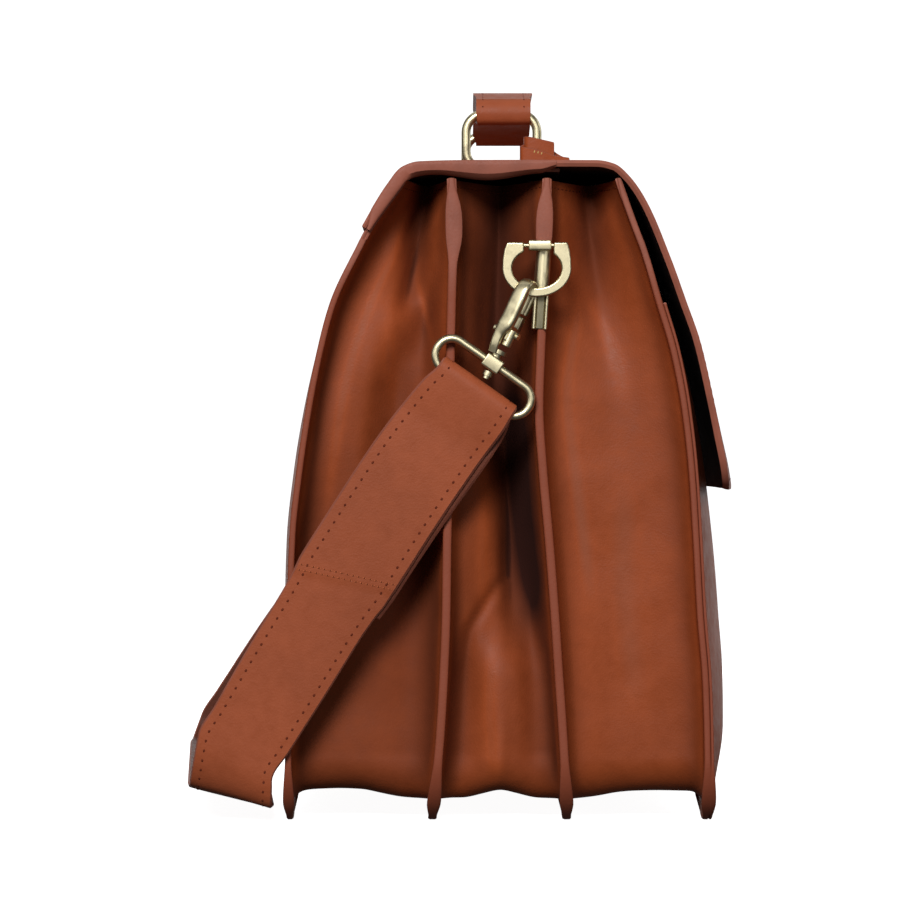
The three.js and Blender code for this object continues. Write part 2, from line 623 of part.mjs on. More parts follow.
// Horseshoe ring: its ears stand on both sides of the barrel and carry the pin
const ringFlat = { halfOuter: 15.5, lowOuter: 12.2, halfHole: 11, lowHole: 8, top: 11.9, earLow: 7.8 };
const earInner = { rear: 5.9, front: -7.6 };
const halfEllipse = (a, b, from, to) => Array.from({ length: 15 }, (_, k) => {
  const angle = THREE.MathUtils.lerp(from, to, k / 14);
  return [a * Math.cos(angle), b * Math.sin(angle)];
});
const horseshoe = outline([
  [earInner.rear, ringFlat.top],
  [earInner.rear, ringFlat.earLow],
  [ringFlat.halfHole - 2, ringFlat.earLow - 1],
  ...halfEllipse(ringFlat.halfHole, ringFlat.lowHole, 0.35, -Math.PI - 0.35),
  [-ringFlat.halfHole + 2, ringFlat.earLow - 1],
  [earInner.front, ringFlat.earLow],
  [earInner.front, ringFlat.top],
  [-ringFlat.halfOuter + 1.5, ringFlat.top],
  [-ringFlat.halfOuter + 0.3, ringFlat.top - 2],
  ...halfEllipse(ringFlat.halfOuter, ringFlat.lowOuter, -Math.PI, 0),
  [ringFlat.halfOuter - 0.3, ringFlat.top - 2],
  [ringFlat.halfOuter - 1.5, ringFlat.top],
]);
const dRingCentre = new THREE.Vector3(HARDWARE_X, D_RING_Y, D_RING_Z);
const pinLength = earInner.rear - earInner.front + 4;
const dRing = joined(
  plate(horseshoe, D_RING_THICK, AXIS_Y, AXIS_Z, dRingCentre),
  roundRod(PIN_DIAMETER, pinLength, AXIS_Y, new THREE.Vector3(
    HARDWARE_X, D_RING_Y + (earInner.rear + earInner.front) / 2, BARREL_Z)),
);
addPair('d_ring', toGeometry(dRing), BRASS);

// Directions of the hanging strap and of the hook, seen along the bag
const strapDown = new THREE.Vector3(0, Math.sin(STRAP_LEAN), -Math.cos(STRAP_LEAN));
const strapAcross = new THREE.Vector3(0, Math.cos(STRAP_LEAN), Math.sin(STRAP_LEAN));
const strapBar = new THREE.Vector3(HARDWARE_X, STRAP_BAR.y, STRAP_BAR.z);
const swivelCentre = strapBar.clone().addScaledVector(strapDown, -LOOP_BARS);
const hookUp = new THREE.Vector3(0, -Math.sin(HOOK_LEAN), Math.cos(HOOK_LEAN));
const hookSide = hookUp.clone().cross(AXIS_X).negate();
const hookOut = AXIS_X.clone().multiplyScalar(Math.cos(HOOK_TURN)).addScaledVector(hookSide, Math.sin(HOOK_TURN));
const hookAxis = hookOut.clone().cross(hookUp);
const onHook = (across, up) => swivelCentre.clone().addScaledVector(hookOut, across).addScaledVector(hookUp, up);

// Hook: an eye over the ring, open on one side where the gate closes it, on a swivel block
const hookOutline = outline([
  [-3.2, 2], [3.2, 2], [3.2, 9], [7, 12.5], [7, 16.3], [2.6, 16.3], [-2.2, 16.3], [-3.6, 18.2], [-3.6, 37.2],
  [-2.6, 38.2], [2.6, 38.2], [3.6, 37.2], [3.6, 28.2], [7.2, 28.8], [7.2, 37.4], [5.8, 40.4], [3, 41.8],
  [-3, 41.8], [-5.8, 40.4], [-7.2, 37.4], [-7.2, 16], [-3.2, 9],
]);
const cheek = outline([[2.8, 13.5], [6.8, 13.5], [6.8, 20], [6, 20.8], [4, 20.8], [2.8, 19.6]]);
const cheekOffset = GATE_THICK / 2 + GAP + CHEEK_WALL / 2;
const cheeks = [-1, 1].map((side) => plate(
  cheek, CHEEK_WALL, hookOut, hookUp, swivelCentre.clone().addScaledVector(hookAxis, side * cheekOffset)));
const gatePivot = onHook(GATE_PIVOT.across, GATE_PIVOT.up);
const gatePin = roundRod(GATE_PIN, 2 * cheekOffset + CHEEK_WALL, hookAxis, gatePivot);
const swivelBlock = new THREE.BoxGeometry(SWIVEL_SIZE, SWIVEL_SIZE, SWIVEL_SIZE);
swivelBlock.applyMatrix4(new THREE.Matrix4().makeBasis(AXIS_X, strapAcross, strapDown.clone().negate()));
swivelBlock.translate(...swivelCentre.toArray());
const flange = roundRod(FLANGE.diameter, FLANGE.thick, hookUp, onHook(0, FLANGE.up));
const rivet = roundRod(RIVET.diameter, RIVET.thick, hookUp, onHook(0, RIVET.up));
const hook = joined(
  plate(hookOutline, HOOK_THICK, hookOut, hookUp, swivelCentre), ...cheeks, gatePin, swivelBlock, flange, rivet,
).subtract(toSolid(roundRod(LOOP_WIRE + 2 * GAP, SWIVEL_SIZE * 2, strapAcross, swivelCentre)));
addPair('hook', toGeometry(hook), BRASS);

const gateOutline = outline([
  [3.9, 17.8], [6.7, 17.8], [10, 18.6], [10, 22.6], [6.9, 24.4], [6.9, 27.6], [3.9, 27.6],
]);
const gate = toSolid(plate(gateOutline, GATE_THICK, hookOut, hookUp, swivelCentre))
  .subtract(toSolid(roundRod(GATE_PIN + 2 * GAP, 2 * GATE_THICK, hookAxis, gatePivot)));
addPair('trigger', toGeometry(gate), BRASS);

const loopCentre = strapBar.clone().addScaledVector(strapDown, -LOOP_BARS / 2);
addPair('strap_loop', wireLoop(
  LOOP_WIRE, LOOP_LENGTH - LOOP_WIRE, LOOP_BARS, LOOP_CORNER, strapAcross, strapDown, loopCentre), BRASS);

// Shoulder strap: turned-back end, round the wire, down the end of the bag, along the floor behind it.
// Each hanging end bows back from the straight line, most quickly near its top.
const layerOffset = STRAP_WALL / 2 + GAP / 2;
const barTurn = LOOP_WIRE / 2 + GAP + STRAP_WALL / 2;

function strapLegRow(down, inward, bow) {
  const share = THREE.MathUtils.clamp(down / STRAP_LEG, 0, 1);
  const x = THREE.MathUtils.lerp(HARDWARE_X, STRAP_LEG_LOW_X, share) + inward;
  const y = STRAP_BAR.y + strapDown.y * down + bow * (1 - (1 - share) ** 4);
  const width = down > 10 ? STRAP_WIDTH : STRAP_FOLD_WIDTH;
  return { x, y, z: STRAP_BAR.z + strapDown.z * down, tilt: STRAP_LEAN, width };
}

function strapHalf(bow) {
  const layer = (down, offset) => strapLegRow(down, offset, bow);
  const turnedBack = [STRAP_TURNED_BACK, 80, 50, 24].map((down) => layer(down, layerOffset));
  const roundBar = [layer(9, barTurn * 0.8), ...[0, 1, 2, 3, 4, 5, 6].map((k) => {
    const angle = (Math.PI / 6) * k;
    return layer(-barTurn * Math.sin(angle), barTurn * Math.cos(angle));
  }), layer(9, -barTurn * 0.8)];
  const leg = [24, 50, 80, STRAP_TURNED_BACK, 135, 165].map((down) => layer(down, -layerOffset));
  const legEnd = layer(STRAP_LEG, -layerOffset);
  const bend = [0, 1, 2, 3, 4].map((k) => {
    const angle = (Math.PI / 8) * k;
    return {
      x: legEnd.x + STRAP_BEND * (1 - Math.cos(angle)),
      y: legEnd.y + STRAP_BEND_DRIFT * Math.sin(angle),
      z: legEnd.z - STRAP_BEND * Math.sin(angle),
      tilt: THREE.MathUtils.lerp(STRAP_LEAN, STRAP_BEND_TILT, k / 4),
      width: STRAP_WIDTH,
    };
  });
  return [...turnedBack, ...roundBar, ...leg, ...bend];
}

const nearHalf = strapHalf(NEAR_BOW);
const farHalf = strapHalf(FAR_BOW).map((row) => ({ ...row, x: -row.x })).reverse();
const [runStart, runEnd] = [nearHalf.at(-1), farHalf[0]];
const floorRun = [-150, -100, 0, 100, 150].map((x) => {
  const share = Math.min(1, (HALF_LENGTH - Math.abs(x)) / STRAP_SETTLE_RUN);
  const settle = share * share * (3 - 2 * share);
  return {
    x,
    width: STRAP_WIDTH,
    y: THREE.MathUtils.mapLinear(x, runStart.x, runEnd.x, runStart.y, runEnd.y),
    z: THREE.MathUtils.lerp(runStart.z, STRAP_FLOOR_Z, settle),
    tilt: THREE.MathUtils.lerp(STRAP_BEND_TILT, STRAP_FLOOR_TILT, settle),
  };
});
const strapRow = ({ x, y, z, tilt, width }) => [-0.5, 0.5].map((side) => (
  new THREE.Vector3(x, y + side * width * Math.cos(tilt), z + side * width * Math.sin(tilt))));
const strapRows = [...nearHalf, ...floorRun, ...farHalf].map(strapRow);
addPiece('shoulder_strap', wallGeometry(strapRows, () => STRAP_WALL), STRAP_LEATHER);

// The origin is under the middle of the whole object, on the surface that it stands on
const box = new THREE.Box3().setFromObject(briefcase, true);
const middle = box.getCenter(new THREE.Vector3());
briefcase.position.set(-middle.x, -middle.y, -box.min.z);

export default briefcase;
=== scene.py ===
import json
import math

import bpy
import numpy as np
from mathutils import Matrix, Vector, noise
from mathutils.geometry import tessellate_polygon

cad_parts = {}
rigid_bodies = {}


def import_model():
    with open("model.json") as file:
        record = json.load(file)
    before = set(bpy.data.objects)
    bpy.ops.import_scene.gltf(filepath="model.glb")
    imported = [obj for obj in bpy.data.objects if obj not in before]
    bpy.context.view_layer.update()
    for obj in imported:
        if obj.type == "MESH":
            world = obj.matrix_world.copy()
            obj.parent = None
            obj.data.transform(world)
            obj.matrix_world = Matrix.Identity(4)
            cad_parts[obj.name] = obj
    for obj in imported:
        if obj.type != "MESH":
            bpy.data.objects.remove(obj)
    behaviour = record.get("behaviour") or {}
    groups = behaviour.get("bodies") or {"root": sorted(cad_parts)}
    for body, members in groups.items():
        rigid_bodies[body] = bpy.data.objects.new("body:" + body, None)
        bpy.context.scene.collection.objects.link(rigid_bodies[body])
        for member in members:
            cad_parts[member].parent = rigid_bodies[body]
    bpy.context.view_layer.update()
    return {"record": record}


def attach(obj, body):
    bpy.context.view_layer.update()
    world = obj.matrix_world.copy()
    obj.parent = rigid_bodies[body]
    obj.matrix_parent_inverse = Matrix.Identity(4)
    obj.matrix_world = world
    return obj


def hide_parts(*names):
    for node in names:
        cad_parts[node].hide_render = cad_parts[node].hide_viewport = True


bl_info = {
    "name": "Leather briefcase",
    "version": (1, 0, 0),
    "blender": (4, 5, 0),
    "location": "View3D > Sidebar > Briefcase",
    "description": "Builds a leather briefcase with folded gussets and a shoulder strap",
    "category": "Object",
}

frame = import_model()

# Lengths are in millimetres, and become metres when a mesh is made. X runs along the bag,
# with the photographed end at -X, and the flap closes on the -Y side.
MM = 0.001
DIVIDER_FOOT_Y = 31.0
SHIFT_Y = frame["record"]["mounts"][0]["pos_m"][1] / MM - DIVIDER_FOOT_Y

# The bag's body
HALF_LENGTH = 200.0
CORNER_RADIUS = 30.0
LAYER_GAP = 0.1
EDGE_PROUD = 0.8
PANEL_WALL = 1.6
DIVIDER_WALL = 1.4
HEM_WALL = 3.0
HEM_TOP_WALL = 1.6
HEM_START = 255.0
HEM_MIDDLE = 271.0
HEM_BULGES = {"rear": (0.6, 1.6), "front": (1.6, 0.6)}
POCKET_WALL = 1.4
POCKET_TOP = 237.0
GUSSET_WALL = 1.2
GUSSET_TOP = 293.5
GUSSET_SAG = 1.0
SEAM_WIDTH = 9.5
SEAM_TURN = 2.0
PANEL_TOP = 293.0
CORNER_TOP = 40.0
BOTTOM_RISE = 10.0
FEET_FROM_MIDDLE = (135, 168)

# Dyed edges round the panels: wider towards the foot, narrow again on the floor and at the top,
# and redder below their upper ends. Pairs are the heights where a change starts and ends.
FOOT_FLARE = 1.2
FOOT_FLARE_HEIGHTS = (8, 30)
FOOT_POINT = 1.5
FOOT_POINT_HEIGHTS = (0, 9)
EDGE_TOP_NARROWING = 0.4
EDGE_TOP_HEIGHTS = (PANEL_TOP - 9, PANEL_TOP)
EDGE_RED = 0.8
EDGE_RED_HEIGHTS = (235, 262)

# Middle planes of the four panels: height, then Y of the back, both dividers and the front
SECTION_COLUMNS = {"back": 1, "rear": 2, "front": 3, "face": 4}
SECTIONS = np.array([
    (0, 97.2, 31.0, -31.0, -95.5),
    (40, 97.0, 27.2, -28.7, -95.0),
    (65, 96.6, 25.7, -27.0, -94.2),
    (95, 96.2, 24.5, -25.0, -91.8),
    (130, 95.2, 24.0, -22.3, -89.9),
    (160, 92.0, 23.4, -19.6, -88.0),
    (190, 87.5, 22.9, -17.8, -84.6),
    (215, 82.6, 22.5, -18.6, -79.8),
    (237, 76.7, 22.0, -19.6, -73.3),
    (264, 63.9, 21.4, -20.5, -65.2),
    (268, 61.9, 21.4, -20.6, -63.6),
    (293, 44.4, 22.0, -21.4, -54.5),
])

# Swell of the outer walls at half length: height, back, front, pocket
SWELL_COLUMNS = {"back": 1, "face": 2, "pocket": 3}
SWELL = np.array([
    (0, 0, 0, 0),
    (40, 3, -2, -11),
    (95, 5, -4, -12),
    (160, 5, -4, -9),
    (237, 2, -2, -3),
    (264, 0, -1, 0),
    (293, 0, 0, 0),
])

# How far a gusset's wall stands behind its seams: height, then seven places from rear to front
FOLD_PLACES = (0.05, 0.2, 0.38, 0.5, 0.62, 0.8, 0.95)
FOLDS = {
    "gusset_rear": np.array([
        (0, 3.5, 4.8, 5, 4.8, 3.2, 1, 0.3),
        (40, 7, 9, 9, 9, 10, 12, 8),
        (95, 9, 11, 10, 11, 13, 16, 10),
        (130, 9, 12, 10, 12, 15, 18, 9),
        (170, 8, 9, 9, 14, 19, 18, 8),
        (193, 8, 8, 9, 15, 20, 16, 7),
        (208, 8, 8.5, 8, 12, 18, 18, 7),
        (227, 7, 9, 9, 10, 14, 21, 7),
        (243, 6, 10, 11, 13, 22, 18, 6),
        (263, 5, 11, 13, 20, 27, 15, 5),
        (279, 5, 13, 20, 28, 28, 15, 5),
        (293, 4, 14, 26, 30, 25, 13, 4),
    ]),
    "gusset_middle": np.array([
        (0, 0.3, 0.6, 2.8, 4.2, 2.8, 0.6, 0.3),
        (40, 9, 13, 8, 7, 8, 13, 12),
        (65, 10, 14, 9, 8, 9, 15, 13),
        (95, 5, 9, 13, 15, 21, 22, 10),
        (130, 4, 7, 11, 17, 30, 22, 8),
        (190, 5, 10, 20, 29, 30, 18, 7),
        (237, 5, 12, 24, 31, 26, 14, 6),
        (293, 4, 13, 24, 30, 24, 13, 4),
    ]),
    "gusset_front": np.array([
        (0, 0.3, 1.3, 3.2, 3.8, 3.9, 3.6, 3.2),
        (40, 4.5, 6.5, 8, 8, 7.5, 6.5, 5),
        (95, 5, 7, 8, 8, 7.5, 6.5, 5),
        (130, 5, 7.5, 8, 8, 8, 7, 5),
        (190, 5, 8, 9, 10, 10, 8, 5),
        (210, 5, 9.5, 12, 13, 12, 9, 5),
        (237, 6, 12, 17, 19, 17, 11, 5),
        (250, 6, 12, 20, 24, 20, 12, 5),
        (270, 5, 11, 22, 28, 24, 13, 5),
        (293, 5, 10, 18, 25, 29, 20, 6),
    ]),
}
# Share of painted shade in each gusset, at its foot and in its upper part, and the heights it changes between
GUSSET_PAINTED_SHADE = {"gusset_rear": (0.34, 0.14), "gusset_middle": (0.22, 0.55), "gusset_front": (0.02, 0.1)}
SHADE_HEIGHTS = (120, 220)
# Strength of the painted shade where the leather lies deep, in hollows and in creases,
# and the depths that it grows between
DEEP_FOLD_SHADE = 0.75
DEEP_FOLD_SHADE_DEPTHS = (19, 42)
HOLLOW_SHADE = 0.55
CREASE_SHADE = 0.9
CREASE_SHADE_DEPTHS = (20, 34)
GUSSET_SIDES = {
    "gusset_rear": ("back", "rear"),
    "gusset_middle": ("rear", "front"),
    "gusset_front": ("front", "face"),
}

# Soft creases pressed into the gussets: gusset, (height, share across) from end to end, depth, half width
CREASES = (
    ("gusset_middle", ((112, 0.56), (98, 0.34), (86, 0.2), (65, 0.15), (10, 0.12)), 3.0, 0.05),
    ("gusset_middle", ((48, 0.5), (12, 0.47)), -1.6, 0.06),
)

# Painted sheen in paler streaks along the gussets' folds, and painted shade in the one of strength below 0:
# gusset, (height, share across) from end to end, strength, half width
PAINTED_STREAKS = (
    ("gusset_rear", ((262, 0.38), (235, 0.30), (208, 0.23), (184, 0.21), (140, 0.2)), 0.4, 0.045),
    ("gusset_rear", ((250, 0.68), (236, 0.78), (222, 0.88)), 0.45, 0.035),
    ("gusset_rear", ((225, 0.50), (205, 0.55), (190, 0.58)), 0.3, 0.06),
    ("gusset_middle", ((262, 0.42), (225, 0.36), (190, 0.24)), 0.25, 0.05),
    ("gusset_middle", ((80, 0.42), (50, 0.40), (24, 0.46)), 0.35, 0.07),
    ("gusset_middle", ((195, 0.79), (160, 0.81), (125, 0.83), (95, 0.86)), -0.95, 0.13),
    ("gusset_middle", ((158, 0.34), (125, 0.33), (95, 0.36)), 0.3, 0.08),
    ("gusset_front", ((235, 0.30), (215, 0.22), (196, 0.18), (167, 0.2), (110, 0.24)), 0.4, 0.05),
    ("gusset_front", ((240, 0.38), (223, 0.52), (200, 0.6)), 0.35, 0.07),
    ("gusset_front", ((150, 0.55), (110, 0.5), (60, 0.52)), 0.25, 0.08),
)

# Gentle lumps of the leather: size, height, seed
GUSSET_LUMPS = ((34.0, 0.9, 3), (13.0, 0.25, 5))
FLAP_LUMPS = ((60.0, 0.35, 9),)
STRAP_LUMPS = ((30.0, 0.12, 11),)

# Outer line of the flap, from its seam on the back over the top to its lower front edge: Y, Z
FLAP_LINE = np.array([
    (62.9, 272), (56.6, 283), (51.4, 291), (44.5, 299), (37, 301.4), (9, 302), (-20, 302), (-44, 302),
    (-52, 300.4), (-58.7, 295), (-66.4, 284), (-77.8, 257), (-84.6, 238), (-91, 220), (-97.4, 193),
    (-101, 175), (-103.4, 163), (-105.2, 152.5),
])
FLAP_TOP = 302.0
FLAP_WALL = 3.0
FLAP_SEAM_WALL = 1.4
FLAP_HALF_LENGTH = 202.0
FLAP_SWELL = 9.0
FLAP_SAG = 3.2
FLAP_SAG_Y = 6.0
FLAP_SAG_REACH = 26.0
FLAP_CORNER = 16.0
FLAP_FRONT_START = 8
TURNOVER_Z = 297.9
TURNOVER_SHARE = 0.975
TURNOVER = ((39.5, TURNOVER_Z - 2), (32, TURNOVER_Z - 0.7), (8, TURNOVER_Z), (-27, TURNOVER_Z))

# Handle, its rings and tabs
HANDLE_Y = -2.0
HANDLE_WIDTH = 26.4
HANDLE_ASIDE = 0.9
HANDLE_TOP = 349.0
HANDLE_UNDERSIDE = 335.0
HANDLE_LOOP_BOTTOM = 328.4
HANDLE_END = 8.0
HANDLE_STEPS = 41
HANDLE_STITCH_INSET = 3.2
RING_X = 68.0
RING_WIRE = 4.5
RING_WIDTH = 39.0
RING_LOW = 306.9
RING_HIGH = 334.0
RING_CORNER = 9.0
LOOP_LEATHER = 2.0
RING_PLAY = 0.3
TAB_TAIL = 30.0
KEY_STRIP = 8.0
KEY_WALL = 1.2

# Strap hardware at the near end, mirrored for the far end
HARDWARE_X = -205.0
POST_LOW = 225.0
POST_HIGH = 265.0
POST_WIDTH = 7.0
POST_GROOVE_TOP = 243.0
POST_SLOT = 5.0
POST_PLATE = 2.8
POST_LEGS = 7.0
BARREL_LENGTH = 10.4
BARREL_Y = -18.1
BARREL_Z = 263.0
PIN_DIAMETER = 1.8
D_RING_Y = -16.4
D_RING_Z = 252.5
D_RING_THICK = 3.0
HOOK_LEAN = math.radians(25.2)
HOOK_TURN = math.radians(28)
HOOK_BAR = 4.6
HOOK_THICK = 7.4
SWIVEL_SIZE = 8.2
GATE_THICK = 4.2
GATE_PIVOT = (-0.5, 15.6)
GATE_BARREL = (-1.6, 13.4, 3.0)
CHEEK_WALL = 1.0
GATE_PIN = 1.8
GATE_PIN_LENGTH = 13.0
LOOP_WIRE = 3.9
LOOP_LENGTH = 53.6
LOOP_SHIFT = 2.0
LOOP_DROP = 1.2
LOOP_TWIST = math.radians(4)
LOOP_BARS = 15.0
LOOP_CORNER = 7.2

# Shoulder strap
STRAP_WIDTH = 40.0
STRAP_FOLD_WIDTH = 39.0
STRAP_SIDEWAYS = 1.2
STRAP_END_WIDTH = 43.5
STRAP_LOW_WIDTH = 38.0
STRAP_WALL = 2.0
STRAP_CROWN = 0.35
STRAP_END_EXTRA = 0.7
STRAP_LAYER_ASIDE = -1.6
STRAP_LEAN = math.radians(31.2)
STRAP_BAR_Y = 9.7
STRAP_BAR_Z = 196.9
STRAP_TURNED_BACK = 107.0
STRAP_LEG = 194.0
STRAP_LEG_LOW_X = -203.0
STRAP_BEND_DRIFT = 2.3
STRAP_BEND_TILT = math.radians(15)
STRAP_FLOOR_TILT = math.radians(12.5)
STRAP_FLOOR_Z = 9.0
# The strap's hanging ends: length to the bend, sideways bow and its curve, depth and height of the bend
NEAR_LEG = {"length": 194.0, "bow": 10.0, "curve": 4.0, "reach": 9.0, "drop": 18.0}
FAR_LEG = {"length": 212.0, "bow": 24.3, "curve": 1.5, "reach": 8.0, "drop": 8.0}
STRAP_SEAM_SLANT = 0.37
STRAP_STITCH_INSET = 3.8
SEAM_STITCH_INSET = 4.6
FLAP_STITCH_INSET = 4.5

# Plain closing plate on the flap
CLASP_WIDTH = 36.0
CLASP_HEIGHT = 26.0
CLASP_THICK = 3.0

# Where the camera stands
CAMERA_Y = 18.185
CAMERA_Z = 165.6

AXIS_X = np.array((1.0, 0.0, 0.0))
AXIS_Y = np.array((0.0, 1.0, 0.0))
AXIS_Z = np.array((0.0, 0.0, 1.0))
UNIT_SQUARE = ((-0.5, -0.5), (0.5, -0.5), (0.5, 0.5), (-0.5, 0.5))

# Walls that later operators draw stitches on, by piece name
WALLS = {}


# Curves and surfaces

def smooth_through(knots, values, at):
    """Values at the places asked for, on a smooth curve through the knots that never overshoots."""
    knots = np.asarray(knots, float)
    values = np.asarray(values, float)
    flat = values.reshape(len(knots), -1)
    step = np.diff(knots)[:, None]
    slope = np.diff(flat, axis=0) / step
    tangent = np.zeros_like(flat)
    same_way = slope[:-1] * slope[1:] > 0
    weight_low = 2 * step[1:] + step[:-1]
    weight_high = step[1:] + 2 * step[:-1]
    safe_low = np.where(same_way, slope[:-1], 1)
    safe_high = np.where(same_way, slope[1:], 1)
    harmonic = (weight_low + weight_high) / (weight_low / safe_low + weight_high / safe_high)
    tangent[1:-1] = np.where(same_way, harmonic, 0)
    tangent[0] = slope[0]
    tangent[-1] = slope[-1]
    place = np.clip(np.asarray(at, float), knots[0], knots[-1])
    low = np.clip(np.searchsorted(knots, place, side="right") - 1, 0, len(knots) - 2)
    t = ((place - knots[low]) / (knots[low + 1] - knots[low]))[:, None]
    width = step[low]
    result = (flat[low] * (1 + 2 * t) * (1 - t) ** 2
              + tangent[low] * width * t * (1 - t) ** 2
              + flat[low + 1] * t ** 2 * (3 - 2 * t)
              + tangent[low + 1] * width * t ** 2 * (t - 1))
    return result.reshape((len(place),) + values.shape[1:])


def read_table(table, column, z):
    """One column of a table of heights, at an array of heights of any shape."""
    z = np.asarray(z, float)
    return smooth_through(table[:, 0], table[:, column], z.ravel()).reshape(z.shape)


def smooth_step(low, high, value):
    share = np.clip((np.asarray(value, float) - low) / (high - low), 0, 1)
    return share * share * (3 - 2 * share)


def run_length(points):
    """Distance along a line of points, from its start to each point."""
    steps = np.linalg.norm(np.diff(points, axis=0), axis=1)
    return np.concatenate(([0.0], np.cumsum(steps)))


def evenly_along(points, spacing):
    """A smooth line through the points, with points about the spacing apart."""
    points = np.asarray(points, float)
    run = run_length(points[:, :3])
    count = int(run[-1] / spacing) + 2
    return smooth_through(run, points, np.linspace(0, run[-1], count))


def left_of(line):
    """Unit directions square to a flat line, on its left."""
    direction = np.gradient(line, axis=0)
    direction /= np.linalg.norm(direction, axis=1, keepdims=True)
    return np.column_stack((-direction[:, 1], direction[:, 0]))


def soft_noise(points, size, seed):
    """Smooth noise from about -1 to 1 at each point, with lumps of the size given."""
    flat = points.reshape(-1, 3) / size
    offset = Vector((seed * 7.3, seed * 3.1, seed * 5.7))
    values = [noise.noise(Vector(point) + offset) for point in flat]
    return np.array(values).reshape(points.shape[:-1])


def lumps(points, table):
    """Height of a table's lumps at each point."""
    return sum(soft_noise(points, size, seed) * height for size, height, seed in table)


def grid_normals(grid):
    along = np.gradient(grid, axis=0)
    across = np.gradient(grid, axis=1)
    normal = np.cross(along, across)
    return normal / np.linalg.norm(normal, axis=2, keepdims=True)


class Wall:
    """A leather wall: a grid of points on its middle surface, and its thickness at each point."""

    def __init__(self, grid, thickness, tint=None):
        self.grid = grid
        self.thickness = np.broadcast_to(np.asarray(thickness, float), grid.shape[:2])
        self.normal = grid_normals(grid)
        self.tint = np.zeros(grid.shape[:2]) if tint is None else tint

    def face(self, side):
        """Points of the face on one side: 1 along the normal, -1 against it."""
        return self.grid + self.normal * (0.5 * side * self.thickness)[..., None]

    def line(self, rows, columns, side):
        """Points and outward normals of a line drawn on one face, at fractional rows and columns."""
        rows, columns = np.broadcast_arrays(np.asarray(rows, float), np.asarray(columns, float))
        low_row = np.clip(rows.astype(int), 0, self.grid.shape[0] - 2)
        low_column = np.clip(columns.astype(int), 0, self.grid.shape[1] - 2)
        row_share = (rows - low_row)[:, None]
        column_share = (columns - low_column)[:, None]

        def on_row(values, row):
            return values[row, low_column] * (1 - column_share) + values[row, low_column + 1] * column_share

        def blend(values):
            return on_row(values, low_row) * (1 - row_share) + on_row(values, low_row + 1) * row_share

        return blend(self.face(side)), blend(self.normal) * side


# Gathering meshes

class Shape:
    """Points and faces gathered for one piece, in millimetres, with a material slot for each face."""

    def __init__(self):
        self.points = []
        self.faces = []
        self.slots = []
        self.uv = []
        self.tint = []

    def add(self, points, faces, slot=0, uv=None, tint=None):
        start = len(self.points)
        self.points.extend(map(tuple, points))
        self.faces.extend(tuple(start + int(k) for k in face) for face in faces)
        if isinstance(slot, int):
            slot = [slot] * len(faces)
        self.slots.extend(slot)
        self.uv.extend(map(tuple, uv) if uv is not None else [(0.0, 0.0)] * len(points))
        self.tint.extend(tint if tint is not None else [0.0] * len(points))

    def add_shape(self, other):
        self.add(other.points, other.faces, other.slots, other.uv, other.tint)

    def mirrored(self):
        """The same shape at the other end of the bag."""
        other = Shape()
        points = [(-x, y, z) for x, y, z in self.points]
        faces = [face[::-1] for face in self.faces]
        other.add(points, faces, list(self.slots), self.uv, self.tint)
        return other


def with_edge_rows(values, share):
    """A grid with an extra row close to its first and last rows and columns, for crisp edges."""
    for axis in (0, 1):
        values = np.moveaxis(values, axis, 0)
        first = values[0] * (1 - share) + values[1] * share
        last = values[-1] * (1 - share) + values[-2] * share
        values = np.concatenate((values[:1], first[None], values[1:-1], last[None], values[-1:]))
        values = np.moveaxis(values, 0, axis)
    return values


def add_wall(shape, wall, slots=(0, 1, 2), rim=0.5):
    """Adds a wall with a rounded rim. Slots are for the face along the normal, the other face and the rim."""
    crisp = 0.25
    outer = with_edge_rows(wall.face(1), crisp)
    inner = with_edge_rows(wall.face(-1), crisp)
    tint = with_edge_rows(wall.tint, crisp)
    rows, columns = outer.shape[:2]
    middle = (outer + inner) / 2
    u = np.broadcast_to(run_length(middle[rows // 2])[None, :], (rows, columns))
    v = np.broadcast_to(run_length(middle[:, columns // 2])[:, None], (rows, columns))
    uv = np.stack((u, v), axis=2).reshape(-1, 2) * MM
    index = np.arange(rows * columns).reshape(rows, columns)
    around = np.concatenate((index[:-1, 0], index[-1, :-1], index[:0:-1, -1], index[0, :0:-1]))
    inside = np.concatenate((index[:-1, 1], index[-2, :-1], index[:0:-1, -2], index[1, :0:-1]))
    flat_middle = middle.reshape(-1, 3)
    outward = flat_middle[around] - flat_middle[inside]
    outward /= np.linalg.norm(outward, axis=1, keepdims=True) + 1e-9
    thick = np.linalg.norm((outer - inner).reshape(-1, 3)[around], axis=1, keepdims=True)
    rim_points = flat_middle[around] + outward * thick * rim * 0.5
    points = np.concatenate((outer.reshape(-1, 3), inner.reshape(-1, 3), rim_points))
    total = rows * columns
    a, b = index[:-1, :-1].ravel(), index[1:, :-1].ravel()
    c, d = index[1:, 1:].ravel(), index[:-1, 1:].ravel()
    front = np.stack((a, b, c, d), axis=1)
    back = np.stack((a, d, c, b), axis=1) + total
    here = around
    there = np.roll(around, -1)
    rim_here = 2 * total + np.arange(len(around))
    rim_there = np.roll(rim_here, -1)
    upper = np.stack((there, here, rim_here, rim_there), axis=1)
    lower = np.stack((rim_there, rim_here, here + total, there + total), axis=1)
    faces = np.concatenate((front, back, upper, lower))
    slot_list = [slots[0]] * len(front) + [slots[1]] * len(back) + [slots[2]] * (len(upper) + len(lower))
    all_uv = np.concatenate((uv, uv, uv[around]))
    flat_tint = tint.ravel()
    all_tint = np.concatenate((flat_tint, flat_tint, flat_tint[around]))
    shape.add(points, faces.tolist(), slot_list, all_uv, all_tint)


